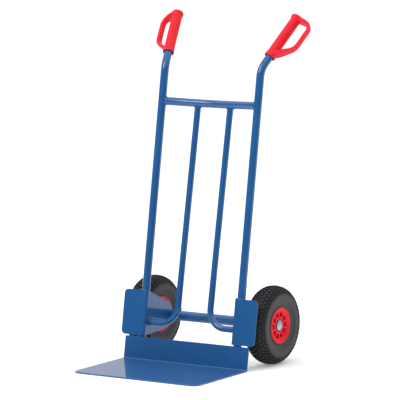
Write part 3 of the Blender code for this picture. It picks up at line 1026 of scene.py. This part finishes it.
@dataclass
class ToePlate:
    """One sheet, folded up at the back and rounded at its corners."""

    thickness: float = 5 * MM
    fold: float = 5.5 * MM
    front_corner: float = 28 * MM
    upstand: float = 76 * MM
    top_corner: float = 4 * MM
    edge: float = 0.7 * MM
    upright_x: float = 186 * MM
    seam_apart: float = 7 * MM
    seam_ends: Pair = (22 * MM, 70 * MM)
    seam_sunk: float = 1.6 * MM
    weld: Weld = field(default_factory=Weld)

    def build(self) -> None:
        """Builds the plate and the seams that join it to the uprights."""
        low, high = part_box("toe_plate")
        width = high.x - low.x
        behind = -(DATUM.tube_radius + DATUM.gap + self.thickness / 2)
        top = DATUM.at(0, self.upstand, behind)
        up = DATUM.lean_pose().col[2].to_3d()
        middle = self.thickness / 2
        corner = top - up * ((top.z - middle) / up.z)
        add = bpy.ops.mesh.primitive_plane_add
        plate = Piece("toe_plate_sheet", add, size=width, location=(0, low.y, middle))
        plate.pick(lambda co: co.y > low.y)
        bpy.ops.mesh.delete(type="VERT")
        plate.pick_all().move(y=width / 2)
        start = Vector((0, low.y, middle))
        follow(plate, [start, corner, top], [self.fold], 8)
        plate.pick(lambda co: co.y < low.y + MM).bevel(self.front_corner, 10, corners=True)
        plate.pick(lambda co: co.z > self.upstand * 0.9).bevel(self.top_corner, 4, corners=True)
        plate.pick_all()
        bpy.ops.mesh.normals_make_consistent(inside=False)
        plate.walled(self.thickness, 0.0).rounded(self.edge, 3).smooth(30).flatten()
        plate.dress(BLUE, "frame", "toe_plate")
        sunk = self.seam_sunk - DATUM.tube_radius
        for side in Side:
            for way, word in ((-1, "inner"), (1, "outer")):
                x = side.value * self.upright_x + way * self.seam_apart
                seam = [DATUM.at(x, height, sunk) for height in self.seam_ends]
                self.weld.seam(f"{side.label}_upstand_seam_{word}", *seam)


@dataclass
class WheelBracket:
    """A guard in front of the wheel and a side plate for the axle, folded from one sheet."""

    side: Side
    sheet: float = 3 * MM
    fold: float = 5.5 * MM
    plate_x: float = 170.75 * MM
    guard_x: float = 259.25 * MM
    foot: float = 80 * MM
    top: float = 230 * MM
    guard_corner: float = 15 * MM
    end_behind: float = 103 * MM
    end_height: float = 153 * MM
    end_radius: float = 46 * MM
    end_roundness: float = 0.497
    edge: float = 0.6 * MM
    top_seam: Pair = (176 * MM, 198 * MM)
    side_seams: tuple[Pair, Pair] = ((92 * MM, 126 * MM), (178 * MM, 214 * MM))
    weld: Weld = field(default_factory=Weld)

    def tangent_height(self, start: float) -> float:
        """Height where an edge from the fold that grazes the round end reaches its rear face.

        Args:
            start: The edge's height at the fold.

        Returns:
            Its height at the end's rearmost line.
        """
        fold_at = -(DATUM.tube_radius + DATUM.gap) + self.fold
        away = Vector((fold_at - self.end_behind, start - self.end_height))
        upper = math.copysign(1.0, away.y)
        opening = math.acos(self.end_radius / away.length)
        touch = math.atan2(away.y, away.x) - upper * opening
        slope = -1 / math.tan(touch)
        return start + slope * (self.end_behind + self.end_radius - fold_at)

    def build(self) -> None:
        """Builds the bracket and its seams."""
        way = self.side.value
        ahead = -(DATUM.tube_radius + DATUM.gap + self.sheet / 2)
        rear = self.end_behind + self.end_radius
        name = f"{self.side.label}_wheel_bracket"
        bracket = half_sheet(f"{name}_sheet")
        tall = self.top - self.foot
        bracket.reshape(lambda co: Vector((way * self.guard_x, ahead, self.foot + (co.y + 0.5) * tall)))
        route = [
            Vector((way * self.guard_x, ahead, 0)),
            Vector((way * self.plate_x, ahead, 0)),
            Vector((way * self.plate_x, rear, 0)),
        ]
        follow(bracket, route, [self.fold], 8)
        ends = (self.tangent_height(self.foot), self.tangent_height(self.top))

        def narrowed(co: Vector) -> Vector:
            """Brings the rear corners to the height of the round end.

            Args:
                co: Where a vertex is.

            Returns:
                Where it goes.
            """
            return Vector((co.x, co.y, ends[co.z > self.end_height])) if co.y > rear - MM else co

        bracket.reshape(narrowed).pick(lambda co: co.y > rear - MM)
        bracket.bevel((ends[1] - ends[0]) * self.end_roundness, 14, corners=True)
        outermost = self.guard_x - MM
        bracket.pick(lambda co: abs(co.x) > outermost).bevel(self.guard_corner, 8, corners=True)
        bracket.seal().walled(self.sheet, 0.0).rounded(self.edge, 3)
        bracket.put(DATUM.lean_pose()).smooth(30).flatten().dress(BLUE, "frame", name)
        self.seams()

    def seams(self) -> None:
        """Seams between the bracket and its upright."""
        way = self.side.value
        label = self.side.label
        height, behind = self.top + 0.6 * MM, 0.4 * MM - DATUM.tube_radius
        run = [DATUM.at(way * x, height, behind) for x in self.top_seam]
        self.weld.seam(f"{label}_guard_top_seam", *run, size=2.4 * MM)
        x = way * (self.plate_x + self.sheet / 2 + MM)
        for place, heights in zip(("lower", "upper"), self.side_seams):
            run = [DATUM.at(x, height, 8.5 * MM) for height in heights]
            self.weld.seam(f"{label}_side_plate_seam_{place}", *run)


@dataclass
class AxleSet:
    """The axle's tube, the axle itself and what sits still on it."""

    tube_radius: float = 16.85 * MM
    tube_wall: float = 2.6 * MM
    reach: float = 169.2 * MM
    shaft_radius: float = 10 * MM
    chamfer: float = 1 * MM
    running_bore: float = 10.4 * MM
    sleeve_radius: float = 15 * MM
    washer_radius: float = 16 * MM
    cap_radius: float = 17.2 * MM
    cap_height: float = 5.4 * MM
    cap_recess: float = 2.7 * MM
    cap_crown: float = 36 * MM
    weld: Weld = field(default_factory=Weld)

    def build(self) -> None:
        """Builds the tube, the shaft, and the sleeve and cap beside each wheel."""
        axle = joint_place("right_wheel_spin")
        across = Matrix.Translation((0, axle.y, axle.z)) @ Matrix.Rotation(math.pi / 2, 4, "Y")
        inner, outer, reach = self.tube_radius - self.tube_wall, self.tube_radius, self.reach
        outline = [(inner, -reach), (outer, -reach), (outer, reach), (inner, reach)]
        turned("axle_tube_pipe", outline, 48).put(across).smooth().dress(BLUE, "frame", "axle_tube")
        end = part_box("axle_shaft")[1].x
        half = [(0, end), (self.shaft_radius - self.chamfer, end), (self.shaft_radius, end - self.chamfer)]
        rod = turned("axle_rod", half + [(r, -z) for r, z in reversed(half)], 40)
        rod.put(across).smooth().dress(STEEL, "frame", "axle_shaft")
        for side in Side:
            centre = Vector((side.value * self.reach, axle.y, axle.z))
            self.weld.ring(f"{side.label}_axle_tube_weld", centre, ACROSS, self.tube_radius)
            self.beside_wheel(side)

    def beside_wheel(self, side: Side) -> None:
        """The spacer sleeve, the washers and the retaining cap of one wheel.

        Args:
            side: The side of the truck.
        """
        pose = wheel_pose(side)
        washer, bore = self.washer_radius, self.running_bore
        rings = (("spacer_sleeve", self.sleeve_radius), ("inner_washer", washer), ("outer_washer", washer))
        for node, radius in rings:
            low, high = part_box(f"{side.label}_{node}")
            ends = sorted(abs(x) - abs(pose.translation.x) for x in (low.x, high.x))
            outline = [(bore, ends[0]), (radius, ends[0]), (radius, ends[1]), (bore, ends[1])]
            piece = turned(f"{side.label}_{node}_turned", outline, 48).rounded(0.25 * MM)
            piece.put(pose).smooth().dress(ZINC, "frame", f"{side.label}_{node}")
        low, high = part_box(f"{side.label}_retaining_cap")
        base = min(abs(low.x), abs(high.x)) - abs(pose.translation.x)
        inside = base + self.cap_recess
        dome = arc((0, base + self.cap_height - self.cap_crown), self.cap_crown, 90, 68, 6)
        lip = [(self.cap_radius, base + 1.3 * MM), (self.cap_radius, base), (bore, base), (bore, inside)]
        shell = dome + [(self.cap_radius - 1.8 * MM, base + 2.2 * MM)] + lip + [(0, inside)]
        cap = turned(f"{side.label}_retaining_cap_dome", shell, 64).rounded(0.35 * MM, 3, 25)
        cap.put(pose).smooth(30).dress(ZINC, "frame", f"{side.label}_retaining_cap")


# ---------------------------------------------------------------- hand grips


@dataclass
class HandGrip:
    """A moulded sleeve over the handle, with a collar, a flange and a knuckle guard."""

    side: Side
    frame_tubes: TubeFrame
    from_corner: float = 54 * MM
    radius: float = 17.6 * MM
    bore: float = 14.1 * MM
    bore_flare: float = 4.5 * MM
    bore_depth: float = 170 * MM
    reach: float = 59.3 * MM
    bends: Pair = (45 * MM, 24 * MM)
    droop: float = math.radians(23.5)
    band: float = 12.5 * MM
    band_width: float = 18.5 * MM
    root_width: float = 33 * MM
    voxel: float = 1.25 * MM

    def pose(self) -> Matrix:
        """Z up the barrel, X towards the knuckle guard, origin at the lower end.

        Returns:
            The pose of the grip.
        """
        tubes = self.frame_tubes
        up = tubes.handle_direction(self.side)
        out = Vector((self.side.value * math.cos(self.droop), 0, -math.sin(self.droop)))
        out = (out - up * out.dot(up)).normalized()
        pose = Matrix((out, up.cross(out), up)).transposed().to_4x4()
        pose.translation = DATUM.at(self.side.value * tubes.upright_x, tubes.corner) + up * self.from_corner
        return pose

    def barrel(self) -> Piece:
        """The solid sleeve with its collar and its flange.

        Returns:
            The sleeve, in edit mode.
        """
        collar = [(0, -2), (18.6, -2), (19.2, -1.4), (19.2, 4), (18.9, 8), (18.2, 14), (17.6, 22)]
        flange = [(17.6, 155.5), (18.0, 158.5), (19.2, 161), (20.3, 163.5), (20.6, 166.5), (20.4, 169.5)]
        mm = collar + flange + [(19.4, 172), (17.0, 174.1), (12, 175.2), (0, 175.5)]
        return turned("grip_barrel", [(r * MM, z * MM) for r, z in mm], 64)

    def width_at(self, x: float) -> float:
        """The knuckle guard's width at a distance from the barrel's axis.

        Args:
            x: Distance from the barrel's axis.

        Returns:
            The width.
        """
        away = min(1.0, max(0.0, (x - self.radius) / (self.reach - self.radius)))
        ease = away * away * (3 - 2 * away)
        return self.root_width + (self.band_width - self.root_width) * ease

    def guard(self) -> Piece:
        """The D-shaped band, as a sheet that widens towards both its roots, then made thick.

        Returns:
            The band, in object mode.
        """
        inside, reach = 6 * MM, self.reach
        corners = ((inside, 9 * MM), (reach, 60.5 * MM), (reach, 162 * MM), (inside, 166 * MM))
        route = [Vector((x, 0, z)) for x, z in corners]
        band = half_sheet("grip_guard")
        start = route[0]
        band.reshape(lambda co: Vector((start.x, math.copysign(0.5, co.y), start.z)))
        follow(band, route, self.bends, 10)
        band.pick_all()
        bpy.ops.mesh.subdivide(number_cuts=3)
        band.reshape(lambda co: Vector((co.x, co.y * self.width_at(co.x), co.z)))
        band.seal()
        return band.walled(self.band, 0.0).rounded(2.2 * MM, 3, 50)

    def build(self) -> None:
        """Builds the grip: fused, softened at its joints, then bored for the handle."""
        name = f"{self.side.label}_hand_grip"
        grip = self.barrel().swallow(self.guard())
        grip.obj.name = f"{name}_moulding"
        grip.modify("REMESH", mode="VOXEL", voxel_size=self.voxel)
        grip.modify("SMOOTH", factor=0.5, iterations=4)
        mouth = [(0, -5 * MM), (self.bore + self.bore_flare, -5 * MM), (self.bore, 4 * MM)]
        tool = turned("grip_bore", mouth + [(self.bore, self.bore_depth), (0, self.bore_depth)], 48)
        tool.rest()
        grip.modify("BOOLEAN", object=tool.obj, operation="DIFFERENCE", solver="EXACT")
        bpy.data.objects.remove(tool.obj)
        grip.put(self.pose()).smooth(50).dress(RED, "frame", name)


# ---------------------------------------------------------------- wheels


def wheel_pose(side: Side) -> Matrix:
    """Pose of a wheel: Z outwards along the axle, from the middle of the tyre."""
    centre = joint_place(f"{side.label}_wheel_spin")
    return Matrix.Translation(centre) @ Matrix.Rotation(side.value * math.pi / 2, 4, "Y")


@dataclass
class Tyre:
    """Pneumatic tyre: a rounded casing with a staggered block tread and lightly ribbed walls."""

    radius: float = 130 * MM
    tread: float = 4.2 * MM
    half_width: float = 40.5 * MM
    widest: float = 94 * MM
    squareness: float = 2.1
    bead_radius: float = 51.6 * MM
    bead_half: float = 29.2 * MM
    lugs: int = 48

    def section(self, angle: float, lift: float = 0.0) -> Pair:
        """Point (r, z) of the casing at an angle from the tread in degrees, lifted off it.

        Args:
            angle: Place across the tread in degrees.
            lift: Height off the casing.

        Returns:
            The radius and the place along the axle.
        """
        power = 2 / self.squareness
        c, s = math.cos(math.radians(angle)), math.sin(math.radians(angle))
        r = (self.radius - self.tread - self.widest + lift) * math.copysign(abs(c) ** power, c)
        z = (self.half_width - 0.4 * MM + lift) * math.copysign(abs(s) ** power, s)
        return (self.widest + r, z)

    def casing(self) -> Piece:
        """The turned body, with moulded rings on its walls and an open inside.

        Returns:
            The casing, in edit mode.
        """
        outer_ring = ((72, 0), (73, 0.9), (76, 0.9), (77, 0), (88, 0), (98, 0))
        inner_ring = ((108, 0), (109, 0.7), (111, 0.7), (112, 0), (120, 0))
        half = [self.section(angle) for angle in range(0, 72, 8)]
        half += [self.section(angle, lift * MM) for angle, lift in outer_ring + inner_ring]
        lip = [(68.0, 30.6), (64.5, 29.9), (63.2, 31.6), (61.4, 31.6)]
        half += [(r * MM, z * MM) for r, z in lip] + [(60.4 * MM, self.bead_half)]
        bead = [(self.bead_radius, self.bead_half), (self.bead_radius, 21.2 * MM)]
        inside = [(76 * MM, 24 * MM), (94 * MM, 32 * MM), (112 * MM, 22 * MM), (118 * MM, 0.0)]
        section = half + bead + inside
        other = [(r, -z) for r, z in section[-2:0:-1]]
        return turned("tyre_casing", section + other, 128)

    def lug(self, angle: float, turn: float, length: float, width: float, twist: float) -> Piece:
        """One tread block on the casing.

        Args:
            angle: Place across the tread, in degrees of the section.
            turn: Place round the wheel, in steps of the pattern.
            length: Size round the wheel.
            width: Size across the tread.
            twist: Turn of the block about its own middle, in degrees.

        Returns:
            The block, placed for the start of the pattern.
        """
        r, z = self.section(angle)
        ahead = Vector(self.section(angle + 1)) - Vector(self.section(angle - 1))
        tilt = math.atan2(ahead.x, ahead.y)
        block = Piece("lug", bpy.ops.mesh.primitive_cube_add, size=1.0)
        block.resize(self.tread * 2.0, length, width)
        top = self.tread * 0.9
        block.pick(lambda co: co.x > 0).resize(1.0, 0.80, 0.84)
        block.bevel(0.5 * MM, 1).rest()
        pose = Matrix.Rotation(2 * math.pi * turn / self.lugs, 4, "Z") @ Matrix.Translation((r, 0, z))
        pose = pose @ Matrix.Rotation(tilt, 4, "Y") @ Matrix.Rotation(math.radians(twist), 4, "X")
        return block.put(pose @ Matrix.Translation((top - self.tread, 0, 0)))

    def pattern(self) -> Piece:
        """One pitch of the staggered blocks, then all of them round the tyre.

        Returns:
            All the blocks, in edit mode.
        """
        blocks = [self.lug(0, 0, 11.5 * MM, 10 * MM, 0)]
        for way in (-1, 1):
            blocks.append(self.lug(way * 19, 0.5, 11.5 * MM, 9.5 * MM, way * 16))
            blocks.append(self.lug(way * 37, 0, 11.0 * MM, 10.0 * MM, way * -14))
            blocks.append(self.lug(way * 54, 0.5, 9.5 * MM, 9.5 * MM, way * 8))
            blocks.append(self.lug(way * 68, 0, 8.5 * MM, 7.5 * MM, 0))
        blocks[0].swallow(*blocks[1:])
        bpy.ops.object.mode_set(mode="EDIT")
        return blocks[0].pick_all().repeat_round(self.lugs)

    def build(self) -> Piece:
        """The tyre in the wheel's own frame."""
        return self.casing().swallow(self.pattern().rest()).smooth(32)


@dataclass
class Rim:
    """One half of the moulded rim: a flange, a ring of ribbed pockets and a boss."""

    steps: int = 120
    pockets: int = 10
    rib_steps: int = 2
    web: float = 5.5 * MM
    face: float = 27.3 * MM

    def outline(self) -> Outline:
        """Section of the outer half from the joint outwards, as radius and height.

        Returns:
            The closed loop of radius and height.
        """
        mm = [
            (21.0, 0.15), (21.0, 27.2), (25.5, 27.2), (26.6, 26.6), (27.5, 27.3), (44.0, 28.0), (45.4, 27.6),
            (47.0, 29.4), (55.5, 32.6), (57.5, 33.5), (59.4, 33.3), (60, 32.5), (60, 29.9), (51.0, 29.9),
            (51.0, 15), (47.5, 11), (47.5, 0.15),
        ]
        return [(r * MM, z * MM) for r, z in mm]

    def build(self) -> Piece:
        """The outer half in the wheel's own frame.

        Returns:
            The rim half, in object mode.
        """
        rim = turned("rim", self.outline(), self.steps)
        share = self.steps // self.pockets

        def in_pocket(middle: Vector, normal: Vector) -> bool:
            """Says of a face of the rim whether it belongs to a pocket.

            Args:
                middle: The face's middle.
                normal: Its normal.

            Returns:
                Whether the face lies in the floor of a pocket.
            """
            radius = math.hypot(middle.x, middle.y)
            step = math.degrees(math.atan2(middle.y, middle.x)) % 360 / 360 * self.steps
            inside = self.rib_steps / 2 <= step % share <= share - self.rib_steps / 2
            return inside and 28 * MM < radius < 43.6 * MM and normal.z > 0.7 and middle.z > self.face - MM

        rim.pick_faces(in_pocket)
        bpy.ops.mesh.inset(thickness=0.8 * MM)
        rim.extrude(z=self.web - self.face).resize(0.985, 0.985, 1.0)
        rim.pick_all()
        return rim.rounded(0.45 * MM, 2, 28).smooth(30)


@dataclass
class Wheel:
    """Everything that turns with one wheel."""

    side: Side
    screw_circle: float = 35.5 * MM
    screws: int = 5
    screw_size: float = 5.4 * MM
    screw_head: float = 3.4 * MM
    sleeve: Pair = (16.5 * MM, 20.5 * MM)
    sleeve_half: float = 25.5 * MM
    valve_radius: float = 3.5 * MM
    valve_turn: float = 36 * MM
    valve_end: float = 27 * MM
    valve_bend: float = 7 * MM
    valve_angle: float = 3 * math.pi / 10

    @property
    def body(self) -> str:
        """The CAD body that the wheel rides on."""
        return f"{self.side.label}_wheel"

    def add(self, piece: Piece, finish: Finish, *nodes: str) -> None:
        """Places a piece of the wheel and dresses it."""
        pose = wheel_pose(self.side)
        piece.put(pose).dress(finish, self.body, *(f"{self.side.label}_{node}" for node in nodes))

    def rim_screws(self) -> None:
        """Hexagon screws with washer faces, in every other pocket."""
        add = bpy.ops.mesh.primitive_cylinder_add
        size = {"vertices": 6, "radius": self.screw_size, "depth": self.screw_head}
        for index in range(self.screws):
            angle = math.pi / 10 + 2 * math.pi * index / self.screws
            middle = (self.screw_circle * math.cos(angle), self.screw_circle * math.sin(angle), 8.0 * MM)
            name = f"{self.side.label}_rim_screw_{index + 1}_head"
            head = Piece(name, add, location=middle, **size)
            head.pick_faces(lambda co, normal: normal.z < -0.5)
            bpy.ops.mesh.inset(thickness=2.4 * MM)
            head.extrude(z=-11 * MM).rest()
            head.rounded(0.5 * MM, 2, 30).smooth(25)
            self.add(head, ZINC, f"rim_screw_{index + 1}")

    def valve(self) -> None:
        """The bent valve stem behind the wheel, and its cap."""
        label = self.side.label
        out = Vector((math.cos(self.valve_angle), math.sin(self.valve_angle), 0))
        along = Vector((0, 0, -self.valve_end))
        turn_at = out * self.valve_turn
        route = [out * 64 * MM + along * 0.2, turn_at + along * 0.5, turn_at + along]
        name, heading = f"{label}_valve_stem_bent", route[1] - route[0]
        stem = open_circle(name, self.valve_radius, route[0], heading, 24, "NGON")
        follow(stem, route, [self.valve_bend], 10).seal().rounded(0.4 * MM)
        self.add(stem.smooth(), BRASS, "valve_stem")
        mm = [(0, -2.4), (4.0, -2.4), (5.0, -1.3), (5.0, 4.0), (3.9, 4.0), (3.9, -0.4), (0, -0.4)]
        cap = turned(f"{label}_valve_cap_turned", [(r * MM, z * MM - self.valve_end) for r, z in mm], 24)
        cap.pick_faces(lambda co, normal: abs(normal.z) < 0.2 and math.hypot(co.x, co.y) > 4.8 * MM)
        bpy.ops.mesh.inset(thickness=0.22 * MM, depth=0.25 * MM, use_individual=True)
        cap.rest().put(Matrix.Translation(turn_at))
        self.add(cap.smooth(), BLACK, "valve_cap")

    def build(self, tyre: Piece, rim: Piece) -> None:
        """Builds the wheel from the tyre and the rim half that both wheels share.

        Args:
            tyre: The tyre in the wheel's frame; copied.
            rim: The outer rim half in the wheel's frame; copied.
        """
        label = self.side.label
        self.add(tyre.copy(f"{label}_tyre_treaded"), RUBBER, "tyre")
        self.add(rim.copy(f"{label}_rim_outer_half"), RED, "rim_outer")
        inner = rim.copy(f"{label}_rim_inner_half").put(Matrix.Rotation(math.pi, 4, "X"))
        self.add(inner, RED, "rim_inner")
        (bore, outer), end = self.sleeve, self.sleeve_half
        outline = [(bore, -end), (outer, -end), (outer, end), (bore, end)]
        sleeve = turned(f"{label}_hub_sleeve_turned", outline, 48)
        self.add(sleeve.rounded(0.3 * MM).smooth(), BLACK, "hub_sleeve")
        self.rim_screws()
        self.valve()
        for node, finish in (("air_tube", AIR_RUBBER), ("outer_bearing", STEEL), ("inner_bearing", STEEL)):
            kept = frame["nodes"][f"{label}_{node}"]
            kept.data.materials.clear()
            kept.data.materials.append(finish.material())


# ---------------------------------------------------------------- studio


@dataclass
class Studio:
    """Pale floor, soft lights and the camera."""

    azimuth: float = 32.77
    elevation: float = 7.27
    roll: float = -0.34
    distance: float = 10.163
    aim: Point = (0.05467, 0.0, 0.54562)
    shift_y: float = -25.3 * MM
    lens: float = 281.4
    dim: float = 0.15
    bright: float = 1.3
    back: float = 0.7
    overhead: Pair = (0.25, 0.8)
    floor_glow: float = 0.25

    def camera(self) -> None:
        """The camera at the viewing angle."""
        a, e, roll = (math.radians(v) for v in (self.azimuth, self.elevation, self.roll))
        back = Vector((math.sin(a) * math.cos(e), -math.cos(a) * math.cos(e), math.sin(e)))
        right = Vector((math.cos(a), math.sin(a), 0))
        up = back.cross(right)
        target = right * self.aim[0] + Vector((0, self.shift_y, self.aim[2]))
        turned_right = right * math.cos(roll) + up * math.sin(roll)
        turned_up = up * math.cos(roll) - right * math.sin(roll)
        data = bpy.data.cameras.new("camera")
        data.lens = self.lens
        data.clip_end = 60
        camera = bpy.data.objects.new("camera", data)
        pose = Matrix((turned_right, turned_up, back)).transposed().to_4x4()
        pose.translation = target + back * self.distance
        camera.matrix_world = pose
        bpy.context.scene.collection.objects.link(camera)
        bpy.context.scene.camera = camera

    def floor(self) -> None:
        """A wide pale floor that glows a little, as a lit paper sweep does."""
        bpy.ops.object.select_all(action="DESELECT")
        bpy.ops.mesh.primitive_plane_add(size=120)
        floor = bpy.context.object
        floor.name = "floor"
        surface = Surface("studio_floor")
        surface.set(Base_Color=(0.9, 0.9, 0.9, 1.0), Roughness=0.95, Specular_IOR_Level=0.0)
        surface.set(Emission_Color=(1.0, 1.0, 1.0, 1.0), Emission_Strength=self.floor_glow)
        floor.data.materials.append(surface.material)

    def walls(self) -> None:
        """Surroundings that are dim at eye level in front of the truck, and bright above and behind it."""
        world = bpy.data.worlds.new("studio")
        world.use_nodes = True
        bpy.context.scene.world = world
        tree = world.node_tree
        place = tree.nodes.new("ShaderNodeTexCoord")
        axes = tree.nodes.new("ShaderNodeSeparateXYZ")
        tree.links.new(place.outputs["Generated"], axes.inputs[0])
        height = Sock(tree, axes.outputs["Z"]).step(*self.overhead)
        behind = Sock(tree, axes.outputs["Y"]).step(-0.1, 0.6)
        light = self.dim + height * (self.bright - self.dim) + behind * (1 - height) * (self.back - self.dim)
        tree.links.new(light.out, tree.nodes["Background"].inputs["Strength"])
        tree.nodes["Background"].inputs["Color"].default_value = (1.0, 1.0, 1.0, 1.0)

    def light(self, name: str, place: Point, size: float, power: float) -> None:
        """A square soft light that faces the truck.

        Args:
            name: The light's name.
            place: Where it hangs.
            size: Its side.
            power: Its power in watts.
        """
        data = bpy.data.lights.new(name, "AREA")
        data.shape = "SQUARE"
        data.size = size
        data.energy = power
        lamp = bpy.data.objects.new(name, data)
        lamp.location = place
        lamp.rotation_euler = (Vector((0, 0, 0.5)) - Vector(place)).to_track_quat("-Z", "Y").to_euler()
        bpy.context.scene.collection.objects.link(lamp)

    def build(self) -> None:
        """Builds the studio."""
        bpy.context.scene.view_settings.view_transform = "Standard"
        self.camera()
        self.floor()
        self.walls()
        self.light("key", (-1.6, -3.6, 4.2), 2.2, 120)


def main() -> None:
    """Builds the truck, piece by piece, and the studio round it."""
    logging.basicConfig(level=logging.INFO, format="%(message)s")
    Studio().build()
    tubes = TubeFrame()
    tubes.build()
    ToePlate().build()
    for side in Side:
        WheelBracket(side).build()
        HandGrip(side, tubes).build()
    AxleSet().build()
    tyre, rim = Tyre().build(), Rim().build()
    for side in Side:
        Wheel(side).build(tyre, rim)
    for model in (tyre, rim):
        bpy.data.objects.remove(model.obj)


if __name__ == "__main__":
    main()
